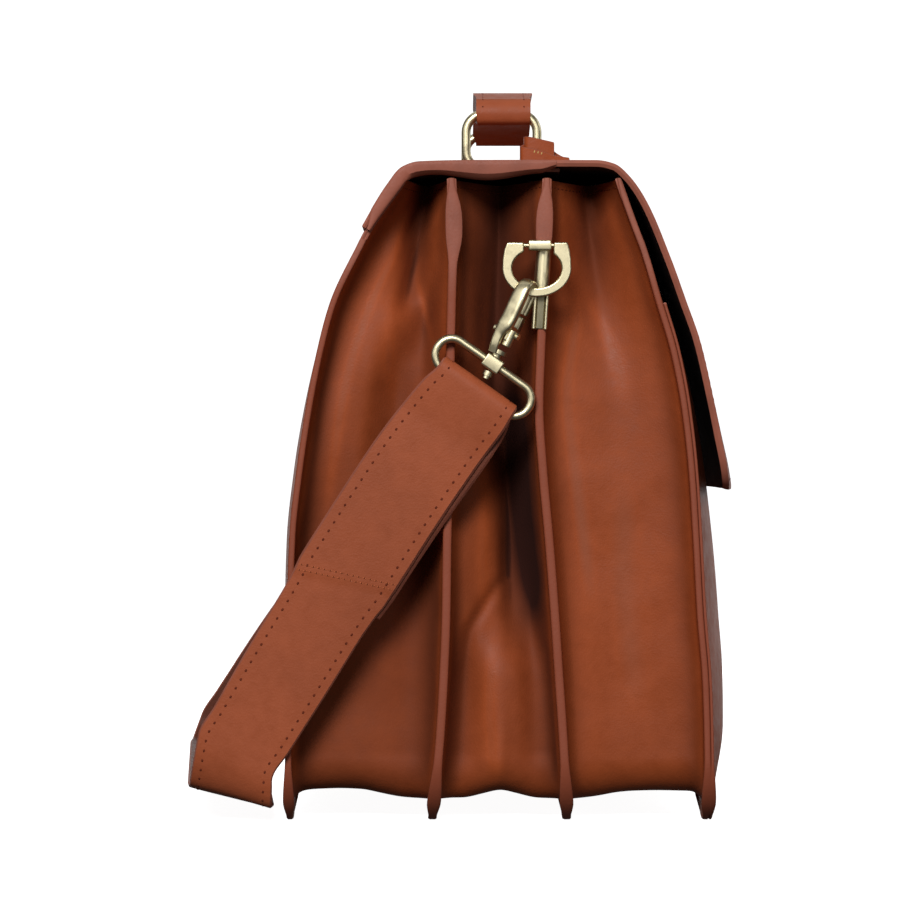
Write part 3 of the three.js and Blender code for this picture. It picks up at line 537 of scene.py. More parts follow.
def add_tube(shape, path, radius, sides=18, closed=False, slot=0, flat=1.0, side_axis=None, square=1.0):
    """Adds a bar along a path. Flat stretches it along the side axis, square below 1 flattens its sides."""
    path = np.asarray(path, float)
    if closed:
        tangent = np.roll(path, -1, axis=0) - np.roll(path, 1, axis=0)
    else:
        tangent = np.gradient(path, axis=0)
    tangent /= np.linalg.norm(tangent, axis=1, keepdims=True)
    start = AXIS_X if side_axis is None else np.asarray(side_axis, float)
    if abs(start @ tangent[0]) > 0.9:
        start = AXIS_Z
    radii = np.broadcast_to(np.asarray(radius, float), (len(path),))
    rings = []
    side = start
    for point, direction, size in zip(path, tangent, radii):
        reference = start if side_axis is not None else side
        side = reference - direction * (reference @ direction)
        side = side / np.linalg.norm(side)
        other = np.cross(direction, side)
        angle = np.linspace(0, 2 * np.pi, sides, endpoint=False)[:, None]
        to_side = np.sign(np.cos(angle)) * np.abs(np.cos(angle)) ** square
        to_other = np.sign(np.sin(angle)) * np.abs(np.sin(angle)) ** square
        rings.append(point + size * (flat * side * to_side + other * to_other))
    shape.add(np.concatenate(rings), tube_faces(len(path), sides, closed), slot)


def tube_faces(count, sides, closed=False):
    """Faces of a tube through rings of points, capped at both ends unless it is closed to itself."""
    faces = []
    for i in range(count if closed else count - 1):
        low, high = i * sides, ((i + 1) % count) * sides
        faces += [(low + k, low + (k + 1) % sides, high + (k + 1) % sides, high + k) for k in range(sides)]
    if not closed:
        faces.append(tuple(range(sides))[::-1])
        faces.append(tuple((count - 1) * sides + k for k in range(sides)))
    return faces


def rod_path(centre, direction, length):
    """Two ends of a straight rod."""
    half = np.asarray(direction, float) * length / 2
    return np.array((centre - half, centre + half))


def add_plate(shape, outline, thickness, right, up, origin, holes=(), slot=0, side_slot=None):
    """Adds a flat outline, pushed out evenly to both sides of its plane."""
    side_slot = slot if side_slot is None else side_slot
    out = np.cross(right, up)
    loops = [np.asarray(loop, float) for loop in (outline, *holes)]
    for k, loop in enumerate(loops):
        x, y = loop.T
        signed_area = 0.5 * np.sum(x * np.roll(y, -1) - y * np.roll(x, -1))
        if (signed_area > 0) != (k == 0):
            loops[k] = loop[::-1]
    flat = np.concatenate(loops)
    total = len(flat)
    face_points = origin + flat[:, :1] * right + flat[:, 1:] * up
    points = np.concatenate((face_points + out * thickness / 2, face_points - out * thickness / 2))
    if len(loops) == 1:
        caps = [tuple(range(total))]
    else:
        caps = tessellate_polygon([[Vector((x, y, 0)) for x, y in loop] for loop in loops])
        caps = [cap if turns_left(flat, cap) else cap[::-1] for cap in caps]
    faces = [tuple(cap) for cap in caps] + [tuple(total + k for k in cap[::-1]) for cap in caps]
    slots = [slot] * len(faces)
    start = 0
    for loop in loops:
        for k in range(len(loop)):
            here, there = start + k, start + (k + 1) % len(loop)
            faces.append((there, here, here + total, there + total))
            slots.append(side_slot)
        start += len(loop)
    shape.add(points, faces, slots)


def turns_left(flat, cap):
    a, b, c = (flat[k] for k in cap)
    return (b[0] - a[0]) * (c[1] - a[1]) - (b[1] - a[1]) * (c[0] - a[0]) > 0


def arc(centre, radius, start, end, steps=12, squash=1.0):
    """Points of an arc in a plane, angles in degrees."""
    angle = np.radians(np.linspace(start, end, steps + 1))
    return np.stack((centre[0] + radius * np.cos(angle), centre[1] + radius * squash * np.sin(angle)), axis=1)


def round_corners(points, radius, steps=4):
    """A closed outline with each corner rounded off."""
    points = np.asarray(points, float)
    rounded = []
    for before, corner, after in zip(np.roll(points, 1, axis=0), points, np.roll(points, -1, axis=0)):
        to_before, to_after = before - corner, after - corner
        reach_before, reach_after = np.linalg.norm(to_before), np.linalg.norm(to_after)
        reach = min(radius, 0.45 * reach_before, 0.45 * reach_after)
        first = corner + to_before / reach_before * reach
        last = corner + to_after / reach_after * reach
        for t in np.linspace(0, 1, steps + 1):
            rounded.append((1 - t) ** 2 * first + 2 * t * (1 - t) * corner + t ** 2 * last)
    return np.array(rounded)


def wire_rectangle(width, height, corner, right, up, centre):
    """Path of a wire bent to a rectangle with round corners."""
    flat = np.concatenate([
        arc((sx * (width / 2 - corner), sy * (height / 2 - corner)), corner, start, start + 90, 10)
        for sx, sy, start in ((1, 1, 0), (-1, 1, 90), (-1, -1, 180), (1, -1, 270))])
    return centre + flat[:, :1] * right + flat[:, 1:] * up


def make_piece(name, shape, finishes, body, nodes, bevel=0.0, sharp=40):
    """Makes the mesh of a gathered shape, bevels its sharp edges and fits it to the frame."""
    points = np.array(shape.points)
    points[:, 1] += SHIFT_Y
    mesh = bpy.data.meshes.new(name)
    mesh.from_pydata((points * MM).tolist(), [], shape.faces)
    for finish in finishes:
        mesh.materials.append(finish)
    mesh.polygons.foreach_set("material_index", shape.slots)
    mesh.polygons.foreach_set("use_smooth", [True] * len(mesh.polygons))
    corners = np.empty(len(mesh.loops), dtype=np.int32)
    mesh.loops.foreach_get("vertex_index", corners)
    uv_layer = mesh.uv_layers.new(name="surface")
    uv_layer.data.foreach_set("uv", np.array(shape.uv)[corners].ravel())
    tint = mesh.attributes.new("tint", "FLOAT", "POINT")
    tint.data.foreach_set("value", np.array(shape.tint, dtype=np.float32))
    mesh.update()
    piece = bpy.data.objects.new(name, mesh)
    bpy.context.scene.collection.objects.link(piece)
    if bevel:
        rounding = piece.modifiers.new("rounded_edges", "BEVEL")
        rounding.width = bevel * MM
        rounding.segments = 3
        rounding.limit_method = "ANGLE"
        rounding.angle_limit = math.radians(sharp)
        rounding.harden_normals = True
        bake(piece)
    else:
        mesh.set_sharp_from_angle(angle=math.radians(sharp))
    settle(piece, body, nodes)
    return piece


def make_pair(name, ending, shape, finishes, bodies, bevel=0.0, solid=True):
    """A piece at the near end and its mirror image at the far end, each on its own body."""
    for end, side, body in (("near", shape, bodies[0]), ("far", shape.mirrored(), bodies[1])):
        nodes = [f"{name}_{end}"] if solid else []
        make_piece(f"{name}_{end}_{ending}", side, finishes, body, nodes, bevel)


def bake(piece):
    """Turns a piece and its modifiers into a plain mesh."""
    evaluated = piece.evaluated_get(bpy.context.evaluated_depsgraph_get())
    plain = bpy.data.meshes.new_from_object(evaluated)
    piece.modifiers.clear()
    piece.data = plain


def settle(piece, body, nodes):
    """Says which body the piece rides on, and hides the solids that it stands for."""
    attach(piece, body)
    if nodes:
        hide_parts(*nodes)


# Materials

# Colours of painted shade (tint above 0) and painted sheen (tint below 0) on the leather, and of tinted cut
# edges
PAINTED_SHADE_COLOUR = (0.030, 0.007, 0.004, 1)
PAINTED_SHEEN_COLOUR = (0.25, 0.10, 0.062, 1)
RED_DYE = (0.25, 0.052, 0.020, 1)


def add_node(tree, kind, **settings):
    """Adds a node. Settings are properties of the node, or its input sockets."""
    node = tree.nodes.new(kind)
    for key, value in settings.items():
        if hasattr(node, key):
            setattr(node, key, value)
        else:
            node.inputs[key.replace("_", " ")].default_value = value
    return node


def colour_ramp(tree, source, stops):
    ramp = tree.nodes.new("ShaderNodeValToRGB")
    elements = ramp.color_ramp.elements
    for element, (place, colour) in zip(elements, (stops[0], stops[-1])):
        element.position = place
        element.color = colour
    for place, colour in stops[1:-1]:
        elements.new(place).color = colour
    tree.links.new(source, ramp.inputs["Fac"])
    return ramp.outputs["Color"]


def mix_colours(tree, factor, first, second, blend="MIX"):
    mix = tree.nodes.new("ShaderNodeMix")
    mix.data_type = "RGBA"
    mix.blend_type = blend
    for socket, value in ((mix.inputs[0], factor), (mix.inputs[6], first), (mix.inputs[7], second)):
        if isinstance(value, bpy.types.NodeSocket):
            tree.links.new(value, socket)
        else:
            socket.default_value = value
    return mix.outputs[2]


def new_material(name):
    material = bpy.data.materials.new(name)
    material.use_nodes = True
    tree = material.node_tree
    shader = next(node for node in tree.nodes if node.type == "BSDF_PRINCIPLED")
    place = tree.nodes.new("ShaderNodeTexCoord").outputs["Object"]
    return material, tree, shader, place


def noise_at(tree, place, scale, detail=3.0, roughness=0.55):
    node = add_node(tree, "ShaderNodeTexNoise", Scale=scale, Detail=detail, Roughness=roughness)
    tree.links.new(place, node.inputs["Vector"])
    return node.outputs["Fac"]


def scaled(colour, factor):
    return tuple(min(1.0, part * factor) for part in colour[:3]) + (1.0,)


def shades(tree, source, colour, *stops):
    """A colour made darker and lighter by a pattern. Stops are a place and the colour's factor there."""
    return colour_ramp(tree, source, [(place, scaled(colour, factor)) for place, factor in stops])


def remap(tree, source, low, high):
    """The middle of a pattern's range, stretched from low to high."""
    node = add_node(tree, "ShaderNodeMapRange", From_Min=0.3, From_Max=0.7, To_Min=low, To_Max=high)
    tree.links.new(source, node.inputs["Value"])
    return node.outputs["Result"]


def tint_of(tree):
    """The tint that a piece keeps at each of its points."""
    return add_node(tree, "ShaderNodeAttribute", attribute_name="tint").outputs["Fac"]


def join(tree, shader, dye, roughness, shine=0.5, relief=None, strength=0.0, depth=0.0004):
    """Joins a colour, a roughness and a relief to a shader."""
    tree.links.new(dye, shader.inputs["Base Color"])
    tree.links.new(roughness, shader.inputs["Roughness"])
    shader.inputs["Specular IOR Level"].default_value = shine
    if relief:
        bump = add_node(tree, "ShaderNodeBump", Strength=strength, Distance=depth)
        tree.links.new(relief, bump.inputs["Height"])
        tree.links.new(bump.outputs["Normal"], shader.inputs["Normal"])


def leather_finish(name, colour):
    """Full-grain leather: mottled dye, with painted shade where its tint is above 0 and painted sheen where
    it is below.
    """
    material, tree, shader, place = new_material(name)
    broad = noise_at(tree, place, 16, 4.0)
    fine = noise_at(tree, place, 170, 4.0)
    dye = shades(tree, broad, colour, (0.3, 0.86), (0.5, 1.0), (0.72, 1.13))
    speckle = colour_ramp(tree, fine, ((0.3, (0.88, 0.86, 0.84, 1)), (0.7, (1.0, 1.0, 1.0, 1))))
    dye = mix_colours(tree, 0.8, dye, speckle, "MULTIPLY")
    tint = tint_of(tree)
    # painted shade: where the tint is above 0 the dye darkens towards a near-black red
    dye = mix_colours(tree, tint, dye, PAINTED_SHADE_COLOUR)
    # painted sheen: where the tint is below 0 the dye pales towards a greyish tan
    pale = add_node(tree, "ShaderNodeMath", operation="MULTIPLY", use_clamp=True)
    tree.links.new(tint, pale.inputs[0])
    pale.inputs[1].default_value = -1.0
    dye = mix_colours(tree, pale.outputs[0], dye, PAINTED_SHEEN_COLOUR)
    dull = add_node(tree, "ShaderNodeMix")
    tree.links.new(tint, dull.inputs["Factor"])
    tree.links.new(remap(tree, fine, 0.42, 0.56), dull.inputs["A"])
    dull.inputs["B"].default_value = 0.95
    pores = add_node(tree, "ShaderNodeTexVoronoi", Scale=1100.0, Randomness=1.0)
    tree.links.new(place, pores.inputs["Vector"])
    wrinkle = noise_at(tree, place, 420, 5.0, 0.6)
    grain = add_node(tree, "ShaderNodeMath", operation="MULTIPLY_ADD")
    tree.links.new(pores.outputs["Distance"], grain.inputs[0])
    grain.inputs[1].default_value = 0.5
    tree.links.new(wrinkle, grain.inputs[2])
    join(tree, shader, dye, dull.outputs["Result"], 0.17, grain.outputs[0], 0.25)
    return material


def edge_finish(name, colour):
    """Cut leather edge, dyed and burnished, as red as the leather where it is tinted."""
    material, tree, shader, place = new_material(name)
    broad = noise_at(tree, place, 60, 4.0)
    fibre = noise_at(tree, place, 900, 3.0)
    dye = shades(tree, broad, colour, (0.3, 0.82), (0.55, 1.0), (0.75, 1.12))
    dye = mix_colours(tree, tint_of(tree), dye, RED_DYE)
    join(tree, shader, dye, remap(tree, fibre, 0.5, 0.7), 0.3, fibre, 0.25)
    return material


def lining_finish(name, colour):
    """Dark suede of the inside."""
    material, tree, shader, place = new_material(name)
    nap = noise_at(tree, place, 40, 5.0)
    fibre = noise_at(tree, place, 1400, 3.0)
    dye = shades(tree, nap, colour, (0.3, 0.7), (0.7, 1.3))
    join(tree, shader, dye, remap(tree, fibre, 0.8, 0.95), 0.15, fibre, 0.3, 0.0003)
    return material


def brass_finish(name, colour):
    """Antique brass: rubbed bright, darker patina left in patches and tinted grooves, finely brushed."""
    material, tree, shader, place = new_material(name)
    patches = noise_at(tree, place, 130, 5.0, 0.6)
    dye = shades(tree, patches, colour, (0.3, 0.55), (0.5, 1.0), (0.7, 1.2))
    dye = mix_colours(tree, tint_of(tree), dye, scaled(colour, 0.3))
    stretch = add_node(tree, "ShaderNodeMapping", Scale=(1.0, 1.0, 0.12))
    tree.links.new(place, stretch.inputs["Vector"])
    brushed = noise_at(tree, stretch.outputs["Vector"], 2600, 2.0)
    join(tree, shader, dye, remap(tree, patches, 0.42, 0.28), 0.5, brushed, 0.12, 0.0001)
    shader.inputs["Metallic"].default_value = 1.0
    return material


def thread_finish(name, colour):
    """Waxed thread with a twist."""
    material, tree, shader, place = new_material(name)
    twist = noise_at(tree, place, 1500, 2.0)
    dye = shades(tree, twist, colour, (0.3, 0.75), (0.7, 1.2))
    join(tree, shader, dye, remap(tree, twist, 0.6, 0.8), 0.1)
    return material


def stage_finish(name, colour):
    """Pale studio paper with a faint tooth, lit from behind."""
    material, tree, shader, place = new_material(name)
    tooth = noise_at(tree, place, 3, 3.0)
    dye = shades(tree, tooth, colour, (0.3, 0.99), (0.7, 1.01))
    join(tree, shader, dye, remap(tree, tooth, 0.85, 0.95), 0.05)
    shader.inputs["Emission Color"].default_value = (1.0, 1.0, 1.0, 1.0)
    shader.inputs["Emission Strength"].default_value = 0.96
    return material


MAKERS = {
    "leather": leather_finish,
    "strap_leather": leather_finish,
    "strap_inside": leather_finish,
    "cut_edge": edge_finish,
    "lining": lining_finish,
    "brass": brass_finish,
    "thread": thread_finish,
    "light_thread": thread_finish,
    "gilt_thread": thread_finish,
    "paper": stage_finish,
}


def finish(name):
    """The material of that name, made the first time that it is asked for."""
    full_name = "briefcase_" + name
    if full_name in bpy.data.materials:
        return bpy.data.materials[full_name]
    colour = tuple(getattr(bpy.context.scene.briefcase_colours, name)) + (1.0,)
    return MAKERS[name](full_name, colour)


def leather_set():
    """Materials of a leather wall: outside, inside, cut edge."""
    return [finish("leather"), finish("lining"), finish("cut_edge")]


# Panels

def lower_edge(x):
    """Height of a panel's lower edge, which rises round the bag's lower corners."""
    into = np.clip(np.abs(x) - (HALF_LENGTH - CORNER_RADIUS), 0, CORNER_RADIUS)
    return CORNER_RADIUS - np.sqrt(CORNER_RADIUS ** 2 - into ** 2) + foot_rise(x)


def foot_rise(x):
    """How far the bottom is drawn up between the feet at the bag's corners."""
    return BOTTOM_RISE * (1 - smooth_step(*FEET_FROM_MIDDLE, np.abs(x)))


def panel_columns():
    """X of a panel's grid lines, close together round the corners."""
    corner = HALF_LENGTH - CORNER_RADIUS * (1 - np.cos(np.linspace(0, np.pi / 2, 12)))
    straight = np.linspace(HALF_LENGTH - CORNER_RADIUS, 0, 22)[1:]
    right = np.concatenate((corner, straight))
    return np.concatenate((-right, right[-2::-1]))


def panel_y(column, z):
    return read_table(SECTIONS, SECTION_COLUMNS[column], z)


def lean_factor(column, z):
    """Length along Y of one millimetre measured square to a panel that leans."""
    reach = 6.0
    slope = (panel_y(column, z + reach) - panel_y(column, z - reach)) / (2 * reach)
    return np.hypot(1, slope)


def swell(column, x, z):
    share = np.minimum(1, np.abs(x) / (HALF_LENGTH - SEAM_WIDTH - SEAM_TURN))
    return read_table(SWELL, SWELL_COLUMNS[column], z) * (1 - share ** 4)


def divider_thickness(z):
    """A divider's wall, thicker round its hem and thin again at its top edge."""
    rising = DIVIDER_WALL + (HEM_WALL - DIVIDER_WALL) * smooth_step(HEM_START, HEM_MIDDLE, z)
    return rising - (HEM_WALL - HEM_TOP_WALL) * smooth_step(HEM_MIDDLE + 4, PANEL_TOP, z)


def hem_share(z):
    """How far the turned-over hem bulges at each height, from 0 to 1."""
    return smooth_step(HEM_START - 2, HEM_MIDDLE - 4, z) - smooth_step(HEM_MIDDLE + 5, PANEL_TOP, z)


def panel_heights(x, top):
    """Heights of a panel's rows over each column, level above the rounded corners."""
    rise = np.linspace(0, 1, 9)[:-1, None]
    corner_rows = lower_edge(x)[None, :] * (1 - rise) + CORNER_TOP * rise
    levels = np.linspace(CORNER_TOP, top, int((top - CORNER_TOP) / 4))
    level_rows = np.broadcast_to(levels[:, None], (len(levels), len(x)))
    return np.concatenate((corner_rows, level_rows))


def panel_grid(top, middle_at):
    columns = panel_columns()
    z = panel_heights(columns, top)
    x = np.broadcast_to(columns[None, :], z.shape)
    return np.stack((x, middle_at(x, z), z), axis=2)


def back_panel_wall():
    """The back wall, whose top turns over under the flap."""
    grid = panel_grid(PANEL_TOP, lambda x, z: panel_y("back", z) + swell("back", x, z))
    line = np.array(((panel_y("back", np.array(280.0)).item(), 280.0),
                     (panel_y("back", np.array(PANEL_TOP)).item(), PANEL_TOP), *TURNOVER))
    turned = evenly_along(line, 3.0)
    turned = turned[turned[:, 1] > PANEL_TOP + 0.5]
    columns = grid[-1, :, 0] * TURNOVER_SHARE
    rows = np.stack([np.column_stack((columns, np.full(len(columns), y), np.full(len(columns), z)))
                     for y, z in turned])
    return Wall(np.concatenate((grid, rows)), PANEL_WALL)


def pocket_middle(x, z):
    spacing = PANEL_WALL / 2 + LAYER_GAP + POCKET_WALL / 2
    return panel_y("face", z) - spacing * lean_factor("face", z) + swell("pocket", x, z)


def end_path(top, count=70):
    """The bag's edge seen from the front: down the near end, along the bottom and up the far end.
    Columns are X, Z, and the outward direction's X and Z."""
    z = np.linspace(top, CORNER_RADIUS, count)
    down = np.column_stack((np.full(count, -HALF_LENGTH), z, np.full(count, -1.0), np.zeros(count)))
    angle = np.linspace(0, np.pi / 2, 18)[1:]
    out = np.column_stack((-np.cos(angle), -np.sin(angle)))
    turned = CORNER_RADIUS * (1 + out)
    corner = np.column_stack((-HALF_LENGTH + turned[:, 0], turned[:, 1], out))
    x = np.linspace(-HALF_LENGTH + CORNER_RADIUS, 0, 20)[1:]
    bottom = np.column_stack((x, foot_rise(x), np.zeros(len(x)), np.full(len(x), -1.0)))
    half = np.concatenate((down, corner, bottom))
    other = half[-2::-1] * np.array((-1, 1, -1, 1))
    return np.concatenate((half, other))


def bead_section():
    """Section of a flat rounded bead: place across it, and depth behind its face."""
    angle = np.linspace(0, 2 * np.pi, 14, endpoint=False)
    across = np.sign(np.cos(angle)) * np.abs(np.cos(angle)) ** 0.6
    depth = 0.9 - 0.9 * np.sign(np.sin(angle)) * np.abs(np.sin(angle)) ** 0.8
    return across, depth - EDGE_PROUD


def edge_band(shape, column, rear_reach, front_reach, top):
    """The dyed edge that closes the layers of a seam: a flat rounded bead round the bag's end.
    Reaches are functions of the height, from the panel's middle plane."""
    path = end_path(top)
    z = np.maximum(path[:, 1], 0)
    middle = panel_y(column, z)
    lean = lean_factor(column, z)
    flare = FOOT_FLARE * (1 - smooth_step(*FOOT_FLARE_HEIGHTS, z))
    flare = flare - FOOT_POINT * (1 - smooth_step(*FOOT_POINT_HEIGHTS, z))
    slim = 1 - EDGE_TOP_NARROWING * smooth_step(*EDGE_TOP_HEIGHTS, z)
    rear = middle + (rear_reach(z) * slim + flare) * lean
    front = middle - (front_reach(z) * slim + flare) * lean
    across, sunk = bead_section()
    rings = []
    for k, (x, height, out_x, out_z) in enumerate(path):
        y = (rear[k] + front[k]) / 2 + across * (rear[k] - front[k]) / 2
        rings.append(np.column_stack((x - out_x * sunk, y, np.maximum(height - out_z * sunk, 0))))
    add_rings(shape, rings, 2, EDGE_RED * (1 - smooth_step(*EDGE_RED_HEIGHTS, z)))


def add_rings(shape, rings, slot, tint):
    """Adds a closed tube through rings of points, capped at both ends, with a tint for each ring."""
    sides = len(rings[0])
    points = np.concatenate(rings)
    faces = outward_faces(points, tube_faces(len(rings), sides))
    shape.add(points, faces, slot, tint=np.repeat(tint, sides))


def outward_faces(points, faces):
    """The faces of a closed shape, turned so that they point outwards."""
    volume = 0.0
    for face in faces:
        a = points[face[0]]
        for b, c in zip(face[1:-1], face[2:]):
            volume += a @ np.cross(points[b], points[c])
    return faces if volume > 0 else [face[::-1] for face in faces]


def make_panel(name, wall, slots, column, rear_reach, front_reach, top):
    """A panel with the dyed edge round it."""
    WALLS[name] = wall
    shape = Shape()
    add_wall(shape, wall, slots)
    edge_band(shape, column, rear_reach, front_reach, top)
    make_piece(name + "_leather", shape, leather_set(), "bag", [name])


def make_panels():
    gusset = GUSSET_WALL + LAYER_GAP
    half_panel = PANEL_WALL / 2
    rounded_top = PANEL_TOP + 0.9

    def bare(z):
        return half_panel

    def covered(z):
        return half_panel + gusset

    make_panel("back_panel", back_panel_wall(), (0, 1, 2), "back", bare, covered, 266.0)

    for column in ("rear", "front"):
        grid = panel_grid(PANEL_TOP, lambda x, z: panel_y(column, z))
        wall = Wall(grid, divider_thickness(grid[..., 2]))
        reaches = [
            lambda z, bulge=bulge: divider_thickness(z) / 2 + gusset + bulge * hem_share(z)
            for bulge in HEM_BULGES[column]]
        make_panel("divider_" + column, wall, (1, 1, 2), column, *reaches, rounded_top)

    face = Wall(panel_grid(PANEL_TOP, lambda x, z: panel_y("face", z) + swell("face", x, z)), PANEL_WALL)
    make_panel("front_panel", face, (1, 0, 2), "face", covered, bare, rounded_top)

    pocket = Wall(panel_grid(POCKET_TOP, pocket_middle), POCKET_WALL)
    make_panel("front_pocket", pocket, (1, 0, 2), "face", lambda z: -half_panel - LAYER_GAP,
               lambda z: half_panel + LAYER_GAP + POCKET_WALL, POCKET_TOP - 0.4)


# Gussets

def half_wall(column, z):
    if column in ("rear", "front"):
        return divider_thickness(z) / 2
    return np.full(np.shape(z), PANEL_WALL / 2)


def seam_y(column, side, z):
    """Y of the middle of a gusset's seam strip, on one side of a panel."""
    spacing = half_wall(column, z) + LAYER_GAP + GUSSET_WALL / 2
    return panel_y(column, z) + side * spacing * lean_factor(column, z)


def lines_across(table, name, share, fold_z):
    """Sum of a table's soft lines that cross a gusset, at each grid point."""
    total = np.zeros(share.shape)
    for gusset, line, depth, half_width in table:
        if gusset != name:
            continue
        heights, places = np.array(sorted(line), float).T
        centre = smooth_through(heights, places, fold_z)[:, None]
        reach = 18.0
        fade = smooth_step(heights[0] - reach, heights[0] + reach, fold_z)
        fade = fade * (1 - smooth_step(heights[-1] - reach, heights[-1] + reach, fold_z))
        total += depth * fade[:, None] * np.exp(-((share - centre) / half_width) ** 2)
    return total


def softened(values, passes):
    """Values along each row with their kinks rounded off, the ends kept."""
    for _ in range(passes):
        inner = (values[:, :-2] + 2 * values[:, 1:-1] + values[:, 2:]) / 4
        values = np.hstack((values[:, :1], inner, values[:, -1:]))
    return values


def gusset_section(name, fold_z):
    """Shares across a gusset and depths behind its edge, row by row: seam strip, folds, seam strip."""
    folds = FOLDS[name]
    at_height = smooth_through(folds[:, 0], folds[:, 1:], fold_z)
    rows = len(fold_z)
    none = np.zeros((rows, 1))
    knots = (0.0, *FOLD_PLACES, 1.0)
    share = np.linspace(0, 1, 65)
    folded = smooth_through(knots, np.hstack((none, at_height, none)).T, share).T
    fold_across = np.broadcast_to(share[None, :], folded.shape)
    off_seams = np.minimum(1, 6 * share * (1 - share))
    folded = softened(folded + lines_across(CREASES, name, fold_across, fold_z) * off_seams, 8)
    strip = np.linspace(LAYER_GAP, SEAM_WIDTH - SEAM_TURN, 5)
    strip_depth = np.broadcast_to(strip, (rows, len(strip)))
    strip_across = np.zeros(strip_depth.shape)
    across = np.hstack((strip_across, fold_across, 1 - strip_across))
    depth = np.hstack((strip_depth, SEAM_WIDTH + folded, strip_depth[:, ::-1]))
    return across, depth


def gusset_tint(name, across, depth, height, fold_z, free):
    """Painted shade deep in the folds and creases and over each gusset by height, and painted streaks of
    sheen and shade.
    """
    # painted shade: darker where the fold lies deep, in hollows and in creases, and by height across each
    # gusset
    hollow = np.clip((depth - softened(depth, 50)) / 3.0, 0, 1) * free
    crease = np.clip((depth - softened(depth, 6)) / 0.5, 0, 1) * smooth_step(*CREASE_SHADE_DEPTHS, depth)
    deep = DEEP_FOLD_SHADE * smooth_step(*DEEP_FOLD_SHADE_DEPTHS, depth)
    tint = np.maximum(np.maximum(deep, HOLLOW_SHADE * hollow), CREASE_SHADE * crease)
    low, high = GUSSET_PAINTED_SHADE[name]
    shade = (low + (high - low) * smooth_step(*SHADE_HEIGHTS, height)) * free
    tint = tint + (1 - tint) * shade
    # painted sheen in paler streaks, and painted shade in streaks of strength below 0
    streaks = lines_across(PAINTED_STREAKS, name, across, fold_z) * free
    return tint - streaks * (1 - 0.5 * tint)


def gusset_wall(name):
    """A folded strip carried down the near end, along the bottom and up the far end."""
    rear_column, front_column = GUSSET_SIDES[name]
    x, z, out_x, out_z = end_path(GUSSET_TOP, 110).T
    on_side = np.abs(out_x) > 0.999
    corner_share = np.degrees(np.arcsin(np.clip(-out_z, 0, 1))) / 90
    corner_fold_z = 36
    side_z = np.interp(z, (CORNER_RADIUS, CORNER_TOP, GUSSET_TOP), (corner_fold_z, CORNER_TOP, PANEL_TOP))
    fold_z = np.where(on_side, side_z, corner_fold_z * (1 - corner_share))
    across, depth = gusset_section(name, fold_z)
    near_top = (smooth_step(GUSSET_TOP - 30, GUSSET_TOP, z) * on_side)[:, None]
    sag = GUSSET_SAG * 4 * across * (1 - across) * near_top
    height = z[:, None] - out_z[:, None] * depth - sag
    along = x[:, None] - out_x[:, None] * depth
    y = seam_y(rear_column, -1, height) * (1 - across) + seam_y(front_column, 1, height) * across
    grid = np.stack((along, y, height), axis=2)
    free = np.clip((depth - SEAM_WIDTH) / 6, 0, 1)
    grid = grid + grid_normals(grid) * lumps(grid, GUSSET_LUMPS)[..., None] * free[..., None]
    return Wall(grid, GUSSET_WALL, gusset_tint(name, across, depth, height, fold_z, free))


def make_gussets():
    for name in GUSSET_SIDES:
        wall = gusset_wall(name)
        WALLS[name] = wall
        shape = Shape()
        add_wall(shape, wall)
        make_piece(name + "_leather", shape, leather_set(), "bag", [name])


# Flap and its closing plate

def distance_to_back(line):
    """Distance from the flap's outer line to the middle of the back panel and its turned-over top."""
    z = np.linspace(240, PANEL_TOP, 120)
    upright = np.column_stack((panel_y("back", z), z))
    panel = np.concatenate((upright, evenly_along((upright[-1], *TURNOVER), 0.5)))
    return np.min(np.linalg.norm(line[:, None, :] - panel[None, :, :], axis=2), axis=1)


def flap_wall():
    """The flap, swelling over the pocket along its front, with rounded lower corners."""
    run = run_length(FLAP_LINE)
    places = np.linspace(0, run[-1], 150)
    line = smooth_through(run, FLAP_LINE, places)
    thickness = np.clip(distance_to_back(line) - PANEL_WALL / 2 - 0.05, FLAP_SEAM_WALL, FLAP_WALL + 0.4)
    thickness = np.where(line[:, 0] < 0, FLAP_WALL, thickness)
    middle = line + left_of(line) * thickness[:, None] / 2
    front_start, front_end = run[FLAP_FRONT_START], run[-1]
    to_edge = np.hypot(*(line - FLAP_LINE[-1]).T)
    into = np.clip(FLAP_CORNER - to_edge, 0, FLAP_CORNER)
    cut = FLAP_CORNER - np.sqrt(FLAP_CORNER ** 2 - into ** 2)
    down = np.clip((places - front_start) / (front_end - front_start), 0, 1)
    share = np.sin(np.linspace(-np.pi / 2, np.pi / 2, 61))
    x = share[None, :] * (FLAP_HALF_LENGTH - cut)[:, None]
    y = middle[:, :1] - FLAP_SWELL * down[:, None] * (1 - share ** 2)[None, :]
    z = np.broadcast_to(middle[:, 1:], x.shape)
    grid = np.stack((x, y, z), axis=2)
    grid = grid + grid_normals(grid) * lumps(grid, FLAP_LUMPS)[..., None]
    return Wall(grid, np.broadcast_to(thickness[:, None], x.shape))


